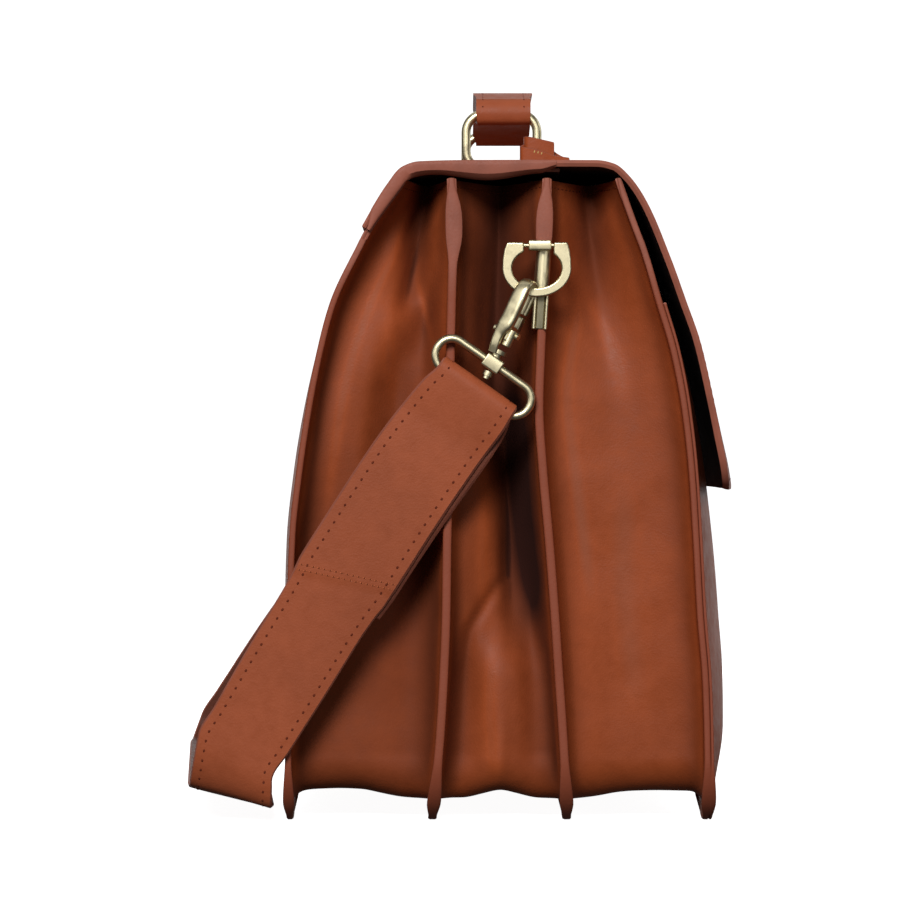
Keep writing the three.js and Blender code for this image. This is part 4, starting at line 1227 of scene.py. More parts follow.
def flap_edge():
    """The dyed edge that closes the flap and the back panel's turned-over top, at the near end."""
    run = run_length(FLAP_LINE)
    line = smooth_through(run, FLAP_LINE, np.linspace(0, run[-1], 200))
    turned_end = TURNOVER[-1][0]
    line = line[:int(np.argmax(line[:, 0] < turned_end))]
    y = line[:, 0]
    sag = FLAP_SAG * np.clip(np.cos((y - FLAP_SAG_Y) / FLAP_SAG_REACH * np.pi / 2), 0, 1) ** 2
    thickness = distance_to_back(line) + PANEL_WALL / 2 + 0.9 + sag
    both_layers = smooth_step(turned_end, turned_end + 9, y)
    thickness = FLAP_WALL + (thickness - FLAP_WALL) * both_layers
    tuck, tuck_less_at_back = 5.0, 4.4
    turned_under = tuck - tuck_less_at_back * smooth_step(38, 50, y)
    ramp_share, ramp_length = 0.55, 9
    drawn_in = ramp_share * thickness * (1 - smooth_step(0, ramp_length, run_length(line)))
    across, sunk = bead_section()
    rings = []
    for point, side, thick, turn, start in zip(line, left_of(line), thickness, turned_under, drawn_in):
        place = point + (start + (0.5 + 0.5 * across[:, None]) * (thick - start)) * side
        back = 1.2 * sunk + turn * np.clip(across - 0.1, 0, 1) ** 2
        rings.append(np.column_stack((back - FLAP_HALF_LENGTH - 0.5, place)))
    shape = Shape()
    add_rings(shape, rings, 2, np.zeros(len(rings)))
    return shape


def make_flap():
    wall = flap_wall()
    WALLS["flap"] = wall
    shape = Shape()
    add_wall(shape, wall)
    edge = flap_edge()
    shape.add_shape(edge)
    shape.add_shape(edge.mirrored())
    make_piece("flap_leather", shape, leather_set(), "bag", ["flap"])

    rows = wall.grid.shape[0]
    middle_column = wall.grid.shape[1] // 2
    z = wall.grid[:, middle_column, 2]
    seat_row = int(np.argmin(np.abs(z - FLAP_LINE[-3, 1])[rows // 2:])) + rows // 2
    seat = wall.face(1)[seat_row, middle_column]
    out = wall.normal[seat_row, middle_column]
    up = np.cross(out, AXIS_X)
    centre = seat + out * (CLASP_THICK / 2 + 0.3)
    shape = Shape()
    size = (CLASP_WIDTH, CLASP_HEIGHT)
    plate = round_corners(UNIT_SQUARE, 0.16, 6)
    add_plate(shape, plate * size, CLASP_THICK, AXIS_X, up, centre)
    tongue = round_corners(((-0.3, -0.28), (0.3, -0.28), (0.3, 0.2), (-0.3, 0.2)), 0.1, 6)
    add_plate(shape, tongue * size, 1.2, AXIS_X, up, centre + out * (CLASP_THICK / 2 + 0.3))
    for side in (-1, 1):
        stud = centre + AXIS_X * side * CLASP_WIDTH * 0.4 + up * CLASP_HEIGHT * 0.34
        add_tube(shape, rod_path(stud, out, CLASP_THICK + 1.4), 1.7, 16)
    make_piece("flap_clasp_brass", shape, [finish("brass")], "bag", ["flap_clasp"], bevel=0.5)


# Handle

def handle_outline():
    """The handle from the side: an arched grip whose ends turn down round the rings."""
    grip_end = RING_X - RING_WIRE
    loop_top = RING_HIGH + HANDLE_END
    x = np.linspace(-grip_end, grip_end, HANDLE_STEPS)
    top = HANDLE_TOP - (HANDLE_TOP - loop_top) * (x / grip_end) ** 2
    low = HANDLE_UNDERSIDE - (HANDLE_UNDERSIDE - HANDLE_LOOP_BOTTOM) * (np.abs(x) / grip_end) ** 3
    turn = (
        (grip_end, loop_top), (RING_X + 1.0, loop_top - 0.9), (RING_X + 3.8, loop_top - 3.4),
        (RING_X + 5.0, RING_HIGH + 0.4), (RING_X + 4.1, RING_HIGH - 3.4), (RING_X + 0.8, RING_HIGH - 5.3),
        (RING_X - 4, HANDLE_LOOP_BOTTOM))
    right_end = evenly_along(turn, 1.2)[1:]
    left_end = right_end[::-1] * (-1, 1)
    upper, lower = np.column_stack((x, top)), np.column_stack((x, low))
    outline = np.concatenate((upper, right_end, lower[::-1], left_end))
    bore = RING_WIRE / 2 + RING_PLAY
    return outline, [arc((side * RING_X, RING_HIGH), bore, 0, 345, 23) for side in (-1, 1)]


def shape_handle_width(shape):
    """Widens the grip a little and narrows its ends towards their lower edges."""
    points = np.array(shape.points)
    at_end = smooth_step(45, 60, np.abs(points[:, 0]))
    wider = 1.1 - 0.1 * at_end
    narrower = 0.04 * at_end * np.clip((RING_HIGH - points[:, 2]) / (RING_HIGH - HANDLE_LOOP_BOTTOM), 0, 1)
    points[:, 1] = HANDLE_Y - HANDLE_ASIDE + (points[:, 1] - HANDLE_Y) * (wider - narrower)
    shape.points = list(map(tuple, points))


def tab_outline():
    """A tab from the side: wrapped round the ring's lower bar, with a doubled tail."""
    bottom = FLAP_TOP + 0.3
    half = RING_LOW - bottom
    wrap = arc((-RING_X, RING_LOW), half, 50, 270, 20)
    tail_top = bottom + 2 * LOOP_LEATHER
    tail_end = -RING_X + TAB_TAIL
    tail = ((tail_end, bottom), (tail_end, tail_top), (-RING_X + half + 3, tail_top))
    return np.concatenate((wrap, tail)), [arc((-RING_X, RING_LOW), RING_WIRE / 2 + RING_PLAY, 0, 345, 23)]


def key_strip(path):
    """A short strip on edge along a path, given from the near ring's front leg."""
    leg_y = HANDLE_Y - (RING_WIDTH - RING_WIRE) / 2
    middle = evenly_along(np.array(path), 0.7) + np.array((-RING_X, leg_y, 0))
    across = np.linspace(-0.5, 0.5, 9) * KEY_STRIP
    return Wall(middle[:, None, :] + across[None, :, None] * AXIS_Z, KEY_WALL)


def key_loop_walls():
    """A strip slung round the near ring's front leg, and its other end lying lower in front of it."""
    upper = key_strip((
        (3.0, -15.5, 307.9), (3.0, -11, 310), (3.0, -6, 313.5), (3.2, 0, 316.6), (2.6, 4, 318.2),
        (0, 6, 318.6), (-2.8, 4.6, 318.5), (-3.2, 0, 317.6), (-3.0, -4.5, 316.6), (-2.6, -8.1, 315.8)))
    lower = key_strip((
        (-0.8, 6.4, 314.8), (-2.2, 7.8, 314.2), (-4.4, 7.2, 313.5), (-5.0, 3, 312.6),
        (-5.0, -1.4, 311.6), (-4.4, -7.5, 309.4), (-3.6, -15.5, 308.2)))
    return upper, lower


def make_handle():
    origin = np.array((0.0, HANDLE_Y, 0.0))
    outline, holes = handle_outline()
    shape = Shape()
    add_plate(shape, outline, HANDLE_WIDTH, AXIS_X, AXIS_Z, origin, holes, slot=1, side_slot=0)
    shape_handle_width(shape)
    soft = [finish("strap_leather"), finish("cut_edge")]
    make_piece("handle_leather", shape, soft, "grip", ["handle"], bevel=1.1)

    outline, holes = tab_outline()
    near = Shape()
    add_plate(near, outline, HANDLE_WIDTH, AXIS_X, AXIS_Z, origin, holes, slot=1, side_slot=0)
    tabs = [finish("leather"), finish("cut_edge")]
    make_pair("handle_tab", "leather", near, tabs, ("bag", "bag"), bevel=0.6)

    centre = np.array((-RING_X, HANDLE_Y, (RING_LOW + RING_HIGH) / 2))
    path = wire_rectangle(RING_WIDTH - RING_WIRE, RING_HIGH - RING_LOW, RING_CORNER, AXIS_Y, AXIS_Z, centre)
    near = Shape()
    add_tube(near, path, RING_WIRE / 2, 20, closed=True, side_axis=AXIS_X)
    make_pair("handle_ring", "brass", near, [finish("brass")], ("ring_near", "ring_far"))

    shape = Shape()
    for wall in key_loop_walls():
        add_wall(shape, wall, (0, 0, 1))
    WALLS["key_loop"] = wall
    make_piece("key_loop_leather", shape, tabs, "ring_near", ["key_loop"])


# Shoulder strap

def strap_width(down):
    """The strap's width: a wider end piece down to the slanting seam, then the strap itself."""
    places = (0, 10, 40, 100, 112, 150, STRAP_LEG)
    end_piece = (STRAP_FOLD_WIDTH, 42, STRAP_END_WIDTH, STRAP_END_WIDTH)
    below_seam = (STRAP_WIDTH + 0.6, STRAP_WIDTH, STRAP_LOW_WIDTH)
    return float(np.interp(down, places, end_piece + below_seam))


def strap_leg_row(down, inward, leg, sideways=STRAP_SIDEWAYS):
    """One row of the strap's hanging end: X, Y, Z, tilt and width, a distance down from the wire loop."""
    share = min(1.0, max(0.0, down) / leg["length"])
    x = HARDWARE_X + (STRAP_LEG_LOW_X - HARDWARE_X) * share + inward
    y = STRAP_BAR_Y + math.sin(STRAP_LEAN) * down + leg["bow"] * (1 - (1 - share) ** leg["curve"])
    tilt = STRAP_LEAN + LOOP_TWIST * (1 - float(smooth_step(0, 45, abs(down))))
    aside = sideways * (1 - float(smooth_step(20, 90, abs(down)))) if sideways > 0 else sideways
    z = STRAP_BAR_Z - math.cos(STRAP_LEAN) * down + math.sin(STRAP_LEAN) * aside
    return (x, y + math.cos(STRAP_LEAN) * aside, z, tilt, strap_width(down))


def strap_half(leg):
    """Rows of one end: the turned-back layer, round the wire, down the end of the bag, round to the floor."""
    layer = STRAP_WALL / 2 + 0.15
    turn = LOOP_WIRE / 2 + 0.3 + STRAP_WALL / 2
    rows = [strap_leg_row(down, layer, leg, STRAP_LAYER_ASIDE)
            for down in (STRAP_TURNED_BACK, 94, 80, 50, 24)]
    rows.append(strap_leg_row(9, turn * 0.8, leg, STRAP_LAYER_ASIDE / 4))
    for angle in np.linspace(0, np.pi, 9):
        rows.append(strap_leg_row(-turn * math.sin(angle), turn * math.cos(angle), leg))
    rows.append(strap_leg_row(9, -turn * 0.8, leg))
    for down in (24, 40, 60, 80, 95, 101, STRAP_TURNED_BACK, 120, 135, 150, 165, leg["length"] - 14):
        rows.append(strap_leg_row(down, -layer, leg))
    x, y, z, _, width = strap_leg_row(leg["length"], -layer, leg)
    for share in np.linspace(0, 1, 7):
        angle = share * np.pi / 2
        tilt = STRAP_LEAN + (STRAP_BEND_TILT - STRAP_LEAN) * share
        rows.append((x + leg["reach"] * (1 - math.cos(angle)), y + STRAP_BEND_DRIFT * math.sin(angle),
                     z - leg["drop"] * math.sin(angle), tilt, width))
    return rows


def strap_rows():
    near = strap_half(NEAR_LEG)
    far = [(-row[0], *row[1:]) for row in strap_half(FAR_LEG)][::-1]
    start, end = near[-1], far[0]
    floor = []
    for x in (-150, -100, -50, 0, 50, 100, 150):
        settle_share = float(smooth_step(0, 1, (HALF_LENGTH - abs(x)) / 80))
        along = (x - start[0]) / (end[0] - start[0])
        y = start[1] + (end[1] - start[1]) * along
        bend_z = start[2] + (end[2] - start[2]) * along
        z = bend_z + (STRAP_FLOOR_Z - bend_z) * settle_share
        tilt = STRAP_BEND_TILT + (STRAP_FLOOR_TILT - STRAP_BEND_TILT) * settle_share
        floor.append((x, y, z, tilt, STRAP_WIDTH))
    return np.array(near + floor + far)


def strap_wall():
    rows = evenly_along(strap_rows(), 1.6)
    across = np.linspace(-0.5, 0.5, 21)
    tilt = rows[:, 3]
    side = np.column_stack((np.zeros(len(rows)), np.cos(tilt), np.sin(tilt)))
    grid = rows[:, None, :3] + across[None, :, None] * (side * rows[:, 4:5])[:, None, :]
    crown = STRAP_CROWN * (1 - (2 * np.abs(across)) ** 4)[None, :]
    run = run_length(grid[:, len(across) // 2])
    from_end = np.minimum(run, run[-1] - run)[:, None]
    seam = strap_seam_run(across * STRAP_WIDTH)[None, :]
    doubled = 1 - smooth_step(seam - 0.6, seam + 0.6, from_end)
    return Wall(grid, STRAP_WALL + crown + STRAP_END_EXTRA * doubled + lumps(grid, STRAP_LUMPS))


def strap_seam_run(across):
    """Distance from the strap's hidden end to the slanting seam on its face, at each place across it."""
    round_wire = 15.0
    return 2 * STRAP_TURNED_BACK + round_wire + STRAP_SEAM_SLANT * np.asarray(across, float)


def make_strap():
    wall = strap_wall()
    WALLS["shoulder_strap"] = wall
    shape = Shape()
    add_wall(shape, wall, (2, 0, 1), rim=0.7)
    soft = [finish("strap_leather"), finish("cut_edge"), finish("strap_inside")]
    make_piece("shoulder_strap_leather", shape, soft, "bag", ["shoulder_strap"])


# Strap hardware

def hardware_axes():
    """Directions of the wire loop and of the hook, and the swivel's place."""
    lean = STRAP_LEAN + LOOP_TWIST
    down = np.array((0.0, math.sin(lean), -math.cos(lean)))
    across = np.array((0.0, math.cos(lean), math.sin(lean)))
    bar = np.array((HARDWARE_X, STRAP_BAR_Y, STRAP_BAR_Z)) + down * LOOP_DROP
    swivel = bar - down * LOOP_BARS + across * LOOP_SHIFT
    up = np.array((0.0, -math.sin(HOOK_LEAN), math.cos(HOOK_LEAN)))
    side = -np.cross(up, AXIS_X)
    out = AXIS_X * math.cos(HOOK_TURN) + side * math.sin(HOOK_TURN)
    return {"down": down, "across": across, "bar": bar, "swivel": swivel, "up": up, "out": out,
            "axis": np.cross(out, up)}


def on_hook(axes, across, height, aside=0.0):
    """A point of the hook's middle plane, or beside it."""
    return axes["swivel"] + axes["out"] * across + axes["up"] * height + axes["axis"] * aside


def post_shape():
    """A channel over the front divider's edge: grooved below the ring, round behind it."""
    low_y, high_y = panel_y("front", np.array((POST_LOW, POST_HIGH)))
    up = np.array((0.0, high_y - low_y - 1.0, POST_HIGH - POST_LOW))
    up /= np.linalg.norm(up)
    across = np.cross(up, AXIS_X)
    middle = np.array((-HALF_LENGTH - 0.3, (low_y + high_y) / 2 + 0.7, (POST_LOW + POST_HIGH) / 2))
    half, slot_half = POST_WIDTH / 2, POST_SLOT / 2
    right_lip = np.array(((0, 1), (-0.8, 1), (-1, 0.86), (-1, 0.62), (-0.3, 0.5)))
    left_lip = right_lip[::-1] * (1, -1)
    grooved = np.concatenate((right_lip, left_lip)) * (POST_PLATE, half)
    rounded = arc((0, 0), half * 0.92, 90, 270, 16) * (POST_PLATE / half, 1)
    legs = np.array(((POST_LEGS, -half), (POST_LEGS, -slot_half), (0, -slot_half), (0, slot_half),
                     (POST_LEGS, slot_half), (POST_LEGS, half)))
    shape = Shape()
    for low, high, face in ((POST_LOW, POST_GROOVE_TOP, grooved), (POST_GROOVE_TOP, POST_HIGH, rounded)):
        centre = middle + up * ((low + high) / 2 - middle[2])
        add_plate(shape, np.concatenate((face, legs)), high - low, AXIS_X, across, centre)
    before = len(shape.points)
    floor = np.array(((-0.42, -0.46), (-0.2, -0.46), (-0.2, 0.46), (-0.42, 0.46))) * (POST_PLATE, half)
    centre = middle + up * ((POST_LOW + POST_GROOVE_TOP) / 2 - middle[2])
    add_plate(shape, floor, POST_GROOVE_TOP - POST_LOW - 0.4, AXIS_X, across, centre)
    shape.tint[before:] = [1.0] * (len(shape.points) - before)
    return shape


def block_shape(axes):
    """The post's barrel and the hook's swivel block."""
    shape = Shape()
    barrel = round_corners(((-2.25, -2.35), (2.25, -2.35), (2.25, 2.35), (-2.25, 2.35)), 0.9, 3)
    add_plate(shape, barrel, BARREL_LENGTH, AXIS_X, AXIS_Z, np.array((HARDWARE_X, BARREL_Y, BARREL_Z)))
    block = round_corners(UNIT_SQUARE, 0.16, 3) * (SWIVEL_SIZE * 0.9, SWIVEL_SIZE * 0.82)
    add_plate(shape, block, SWIVEL_SIZE + 0.6, AXIS_X, axes["down"], axes["swivel"])
    return shape


def ring_shape():
    """A horseshoe ring whose ears stand on both sides of the barrel."""
    outer = arc((0, 0), 15.7, -180, 0, 36, 13.0 / 15.7)
    hole = arc((0, 0), 11.3, 59, -228, 40, 8.8 / 11.3)
    outline = np.concatenate((
        np.array(((5.8, 11.9),)),
        hole,
        np.array(((-7.6, 11.9), (-14.0, 11.9), (-14.9, 8.4), (-15.5, 4.4))),
        outer,
        np.array(((15.5, 4.4), (14.9, 8.4), (13.6, 11.9))),
    ))
    shape = Shape()
    add_plate(shape, outline, D_RING_THICK, AXIS_Y, AXIS_Z, np.array((HARDWARE_X, D_RING_Y - 0.3, D_RING_Z)))
    return shape


def hook_shape(axes):
    """A snap hook: a flattened bar bent to an eye over the ring, open where the gate closes it."""
    bend = (
        (-3.4, 5, -0.7), (-4.6, 9, -0.9), (-5, 14, -0.9), (-5.1, 20, 0.4), (-5.2, 32, 0.5), (-4.9, 36.4, 0.4),
        (-3, 39.2, 0.2), (0, 40, 0), (3, 39.2, 0), (5, 36.4, 0), (5.4, 32, 0), (5.5, 26.2, 0))
    path = evenly_along(np.array([on_hook(axes, *place) for place in bend]), 1.0)
    places = (0, 0.1, 0.16, 0.25, 0.5, 0.62, 1)
    size = np.interp(np.linspace(0, 1, len(path)), places, (0.6, 0.62, 0.66, 1.0, 1.0, 0.86, 0.7))
    shape = Shape()
    flat = HOOK_THICK / HOOK_BAR
    add_tube(shape, path, HOOK_BAR / 2 * size, 28, flat=flat, side_axis=axes["axis"], square=0.6)
    cheek = round_corners(((-4.5, 11.5), (3.2, 12.2), (4.2, 15), (3.4, 18.6), (-4.5, 19.4)), 1.2, 4)
    offset = GATE_THICK / 2 + 0.2 + CHEEK_WALL / 2
    for side in (-1, 1):
        centre = on_hook(axes, 0, 0, side * offset)
        add_plate(shape, cheek, CHEEK_WALL, axes["out"], axes["up"], centre)
    return shape


def round_parts(axes):
    """The wire loop, the ring's pin, the gate's pin with its heads, and the hook's turned collars."""
    shape = Shape()
    centre = axes["bar"] - axes["down"] * LOOP_BARS / 2 + axes["across"] * LOOP_SHIFT
    width = LOOP_LENGTH - LOOP_WIRE
    path = wire_rectangle(width, LOOP_BARS, LOOP_CORNER, axes["across"], axes["down"], centre)
    add_tube(shape, path, LOOP_WIRE / 2, 20, closed=True, side_axis=AXIS_X)
    pin = np.array((HARDWARE_X, D_RING_Y - 1.1, BARREL_Z))
    add_tube(shape, rod_path(pin, AXIS_Y, 17.5), PIN_DIAMETER / 2, 14)
    pivot = on_hook(axes, *GATE_PIVOT)
    add_tube(shape, rod_path(pivot, axes["axis"], GATE_PIN_LENGTH), GATE_PIN / 2, 16)
    for side in (-1, 1):
        head = pivot + axes["axis"] * side * (GATE_PIN_LENGTH / 2 - 0.8)
        add_tube(shape, rod_path(head, axes["axis"], 1.8), GATE_PIN * 0.85, 16)
    for height, size, length in ((6.0, 8.4, 1.8), (4.2, 5.0, 2.4), (-5.0, 4.6, 2.2), (-6.6, 3.2, 1.6)):
        add_tube(shape, rod_path(on_hook(axes, 0, height), axes["up"], length), size / 2, 24)
    return shape


def gate_shape(axes):
    """The hook's spring gate, with a thumb piece."""
    gate = round_corners(((4.2, 15), (7.3, 15), (7.1, 25), (3.9, 25)), 1.0, 4)
    shape = Shape()
    add_plate(shape, gate, GATE_THICK, axes["out"], axes["up"], axes["swivel"])
    barrel = arc((0, 0), 2.4, 0, 340, 18)
    add_plate(shape, barrel, 8.0, axes["out"], axes["axis"], on_hook(axes, *GATE_BARREL))
    return shape


def make_hardware():
    axes = hardware_axes()
    brass = [finish("brass")]
    fixed = ("bag", "bag")
    make_pair("strap_post", "brass", post_shape(), brass, fixed, 0.4)
    make_pair("d_ring", "brass", ring_shape(), brass, fixed, 0.8)
    make_pair("hook", "brass", hook_shape(axes), brass, fixed)
    make_pair("trigger", "brass", gate_shape(axes), brass, ("gate_near", "gate_far"), 0.5)
    make_pair("strap_loop", "brass", round_parts(axes), brass, fixed)
    make_pair("hardware_blocks", "brass", block_shape(axes), brass, fixed, 0.8, solid=False)


# Stitches

def stitch_tree():
    """Geometry nodes that lay stitches along lines, flat on the leather."""
    tree = bpy.data.node_groups.new("stitch_rows", "GeometryNodeTree")
    tree.interface.new_socket("Lines", in_out="INPUT", socket_type="NodeSocketGeometry")
    for name in ("Pitch", "Length", "Width", "Height"):
        tree.interface.new_socket(name, in_out="INPUT", socket_type="NodeSocketFloat")
    tree.interface.new_socket("Thread", in_out="INPUT", socket_type="NodeSocketMaterial")
    tree.interface.new_socket("Stitches", in_out="OUTPUT", socket_type="NodeSocketGeometry")
    entry = tree.nodes.new("NodeGroupInput")
    link = tree.links.new
    curve = tree.nodes.new("GeometryNodeMeshToCurve")
    link(entry.outputs["Lines"], curve.inputs["Mesh"])
    spaced = tree.nodes.new("GeometryNodeResampleCurve")
    spaced.mode = "LENGTH"
    link(curve.outputs["Curve"], spaced.inputs["Curve"])
    link(entry.outputs["Pitch"], spaced.inputs["Length"])
    stitch = tree.nodes.new("GeometryNodeMeshUVSphere")
    stitch.inputs["Segments"].default_value = 6
    stitch.inputs["Rings"].default_value = 4
    stitch.inputs["Radius"].default_value = 0.5
    tangent = tree.nodes.new("GeometryNodeInputTangent")
    along = tree.nodes.new("FunctionNodeAlignRotationToVector")
    along.axis = "X"
    link(tangent.outputs["Tangent"], along.inputs["Vector"])
    outward = tree.nodes.new("GeometryNodeInputNamedAttribute")
    outward.data_type = "FLOAT_VECTOR"
    outward.inputs["Name"].default_value = "outward"
    upright = tree.nodes.new("FunctionNodeAlignRotationToVector")
    upright.axis = "Z"
    upright.pivot_axis = "X"
    link(along.outputs["Rotation"], upright.inputs["Rotation"])
    link(outward.outputs["Attribute"], upright.inputs["Vector"])
    size = tree.nodes.new("ShaderNodeCombineXYZ")
    for name, axis in (("Length", "X"), ("Width", "Y"), ("Height", "Z")):
        link(entry.outputs[name], size.inputs[axis])
    laid = tree.nodes.new("GeometryNodeInstanceOnPoints")
    link(spaced.outputs["Curve"], laid.inputs["Points"])
    link(stitch.outputs["Mesh"], laid.inputs["Instance"])
    link(upright.outputs["Rotation"], laid.inputs["Rotation"])
    link(size.outputs["Vector"], laid.inputs["Scale"])
    real = tree.nodes.new("GeometryNodeRealizeInstances")
    link(laid.outputs["Instances"], real.inputs["Geometry"])
    dyed = tree.nodes.new("GeometryNodeSetMaterial")
    link(real.outputs["Geometry"], dyed.inputs["Geometry"])
    link(entry.outputs["Thread"], dyed.inputs["Material"])
    result = tree.nodes.new("NodeGroupOutput")
    link(dyed.outputs["Geometry"], result.inputs["Stitches"])
    return tree


def make_stitches(name, lines, pitch, size, thread, body):
    """Stitches along lines of points and outward normals.
    Size is a stitch's length as a share of the pitch, its width and its height."""
    length, width, height = size
    points, outward, edges = [], [], []
    for line, normals in lines:
        start = len(points)
        points.extend(map(tuple, line))
        outward.extend(map(tuple, normals))
        edges.extend((start + k, start + k + 1) for k in range(len(line) - 1))
    place = np.array(points)
    place[:, 1] += SHIFT_Y
    mesh = bpy.data.meshes.new(name)
    mesh.from_pydata((place * MM).tolist(), edges, [])
    attribute = mesh.attributes.new("outward", "FLOAT_VECTOR", "POINT")
    attribute.data.foreach_set("vector", np.array(outward, dtype=np.float32).ravel())
    piece = bpy.data.objects.new(name, mesh)
    bpy.context.scene.collection.objects.link(piece)
    tree = bpy.data.node_groups.get("stitch_rows") or stitch_tree()
    modifier = piece.modifiers.new("stitches", "NODES")
    modifier.node_group = tree
    values = {"Pitch": pitch * MM, "Length": pitch * length * MM, "Width": width * MM, "Height": height * MM,
              "Thread": finish(thread)}
    for item in tree.interface.items_tree:
        if item.in_out == "INPUT" and item.name in values:
            modifier[item.identifier] = values[item.name]
    bake(piece)
    piece.data.polygons.foreach_set("use_smooth", [True] * len(piece.data.polygons))
    settle(piece, body, [])


def strap_lines():
    """Rows along both edges of the strap, and double rows across where its turned-back ends are sewn down."""
    wall = WALLS["shoulder_strap"]
    rows, columns = wall.grid.shape[:2]
    inset = STRAP_STITCH_INSET / STRAP_WIDTH * (columns - 1)
    run = run_length(wall.grid[:, columns // 2])
    first_row = int(np.searchsorted(run, STRAP_TURNED_BACK + 8))
    last_row = rows - 1 - first_row
    along = np.linspace(first_row, last_row, 500)
    lines = [wall.line(along, column, side) for column in (inset, columns - 1 - inset) for side in (-1, 1)]
    across = np.linspace(inset * 0.4, columns - 1 - inset * 0.4, 30)
    seam = strap_seam_run((across / (columns - 1) - 0.5) * STRAP_WIDTH)
    cross_lines = []
    for before in (1.6, 4.2):
        for place in (seam - before, run[-1] - seam + before):
            row = np.interp(place, run, np.arange(rows))
            cross_lines.append(wall.line(row, across, -1))
    return lines, cross_lines


def panel_edge_lines():
    """Rows along the seams on the outside of the back and the front, and round the flap."""
    lines = []
    sewn_top = 250.0
    path = end_path(sewn_top, 40)
    for name, side, top in (("back_panel", 1, sewn_top), ("front_pocket", -1, POCKET_TOP - 5)):
        wall = WALLS[name]
        x = path[:, 0] - path[:, 2] * SEAM_STITCH_INSET
        z = np.minimum(path[:, 1] - path[:, 3] * SEAM_STITCH_INSET, top)
        columns = np.interp(x, wall.grid[0, :, 0], np.arange(wall.grid.shape[1]))
        upright = int(np.argmax(wall.grid[:, 0, 2] > sewn_top + 5)) or wall.grid.shape[0]
        rows = np.array([
            np.interp(height, wall.grid[:upright, int(round(column)), 2], np.arange(upright))
            for height, column in zip(z, columns)])
        lines.append(wall.line(rows, columns, side))
    flap = WALLS["flap"]
    rows, columns = flap.grid.shape[:2]
    x = flap.grid[rows // 2, :, 0]
    left = float(np.interp(-FLAP_HALF_LENGTH + FLAP_STITCH_INSET, x, np.arange(columns)))
    right = columns - 1 - left
    row_spacing = run_length(flap.grid[:, columns // 2])[-1] / (rows - 1)
    low_row = float(rows - 1 - FLAP_STITCH_INSET / row_spacing)
    down = np.linspace(5.0, low_row, 120)
    across = np.linspace(left, right, 120)
    lines.append(flap.line(down, left, 1))
    lines.append(flap.line(low_row, across, 1))
    lines.append(flap.line(down[::-1], right, 1))
    for row in (1.5, 4.0):
        lines.append(flap.line(row, across, 1))
    return lines


def gusset_top_lines():
    """A row just below the top edge of each gusset, at both ends."""
    lines = []
    for name in GUSSET_SIDES:
        wall = WALLS[name]
        rows, columns = wall.grid.shape[:2]
        across = np.linspace(6, columns - 7, 60)
        for row in (1.3, rows - 2.3):
            lines.append(wall.line(row, across, 1))
    return lines


def handle_lines():
    """Rows along both edges of the handle's upper face and down its end loops."""
    outline, _ = handle_outline()
    turned_down = 9
    upper = np.concatenate((outline[-turned_down:], outline[:HANDLE_STEPS + turned_down]))
    flat = evenly_along(upper, 1.5)
    outward = left_of(flat)
    normal = np.column_stack((outward[:, 0], np.zeros(len(flat)), outward[:, 1]))
    lines = []
    for side in (-1, 1):
        y = HANDLE_Y - HANDLE_ASIDE + side * (HANDLE_WIDTH / 2 - HANDLE_STITCH_INSET)
        points = np.column_stack((flat[:, 0], np.full(len(flat), y), flat[:, 1]))
        lines.append((points, normal))
    return lines


def key_loop_lines():
    """A few stitches near the upper edge of the key loop's front layer."""
    wall = WALLS["key_loop"]
    run = run_length(wall.grid[:, wall.grid.shape[1] // 2])
    rows = np.interp(np.linspace(10.6, 14.2, 12), run, np.arange(len(run)))
    return [wall.line(rows, wall.grid.shape[1] - 2.0, side) for side in (-1, 1)]


# Settings that a user would change

class BriefcaseColours(bpy.types.PropertyGroup):
    """Colours of the briefcase and its stage."""

    leather: bpy.props.FloatVectorProperty(
        name="Leather", description="Dyed leather of the bag", subtype="COLOR", min=0, max=1,
        default=(0.345, 0.071, 0.019))
    strap_leather: bpy.props.FloatVectorProperty(
        name="Strap leather", description="Leather of the strap and handle", subtype="COLOR", min=0, max=1,
        default=(0.335, 0.079, 0.030))
    strap_inside: bpy.props.FloatVectorProperty(
        name="Strap inside", description="Leather on the strap's inner side", subtype="COLOR", min=0, max=1,
        default=(0.12, 0.030, 0.014))
    cut_edge: bpy.props.FloatVectorProperty(
        name="Cut edge", description="Dyed edges of the leather", subtype="COLOR", min=0, max=1,
        default=(0.30, 0.090, 0.055))
    lining: bpy.props.FloatVectorProperty(
        name="Lining", description="Suede of the inside", subtype="COLOR", min=0, max=1,
        default=(0.030, 0.012, 0.008))
    brass: bpy.props.FloatVectorProperty(
        name="Brass", description="Antique brass of the hardware", subtype="COLOR", min=0, max=1,
        default=(0.60, 0.53, 0.34))
    thread: bpy.props.FloatVectorProperty(
        name="Thread", description="Sewing thread", subtype="COLOR", min=0, max=1,
        default=(0.13, 0.024, 0.010))
    light_thread: bpy.props.FloatVectorProperty(
        name="Seam thread", description="Thread of the seam across the strap", subtype="COLOR", min=0, max=1,
        default=(0.46, 0.13, 0.05))
    gilt_thread: bpy.props.FloatVectorProperty(
        name="Key loop thread", description="Light thread of the key loop", subtype="COLOR", min=0, max=1,
        default=(0.60, 0.42, 0.16))
    paper: bpy.props.FloatVectorProperty(
        name="Floor", description="Studio paper under and behind the bag", subtype="COLOR", min=0, max=1,
        default=(0.90, 0.90, 0.90))


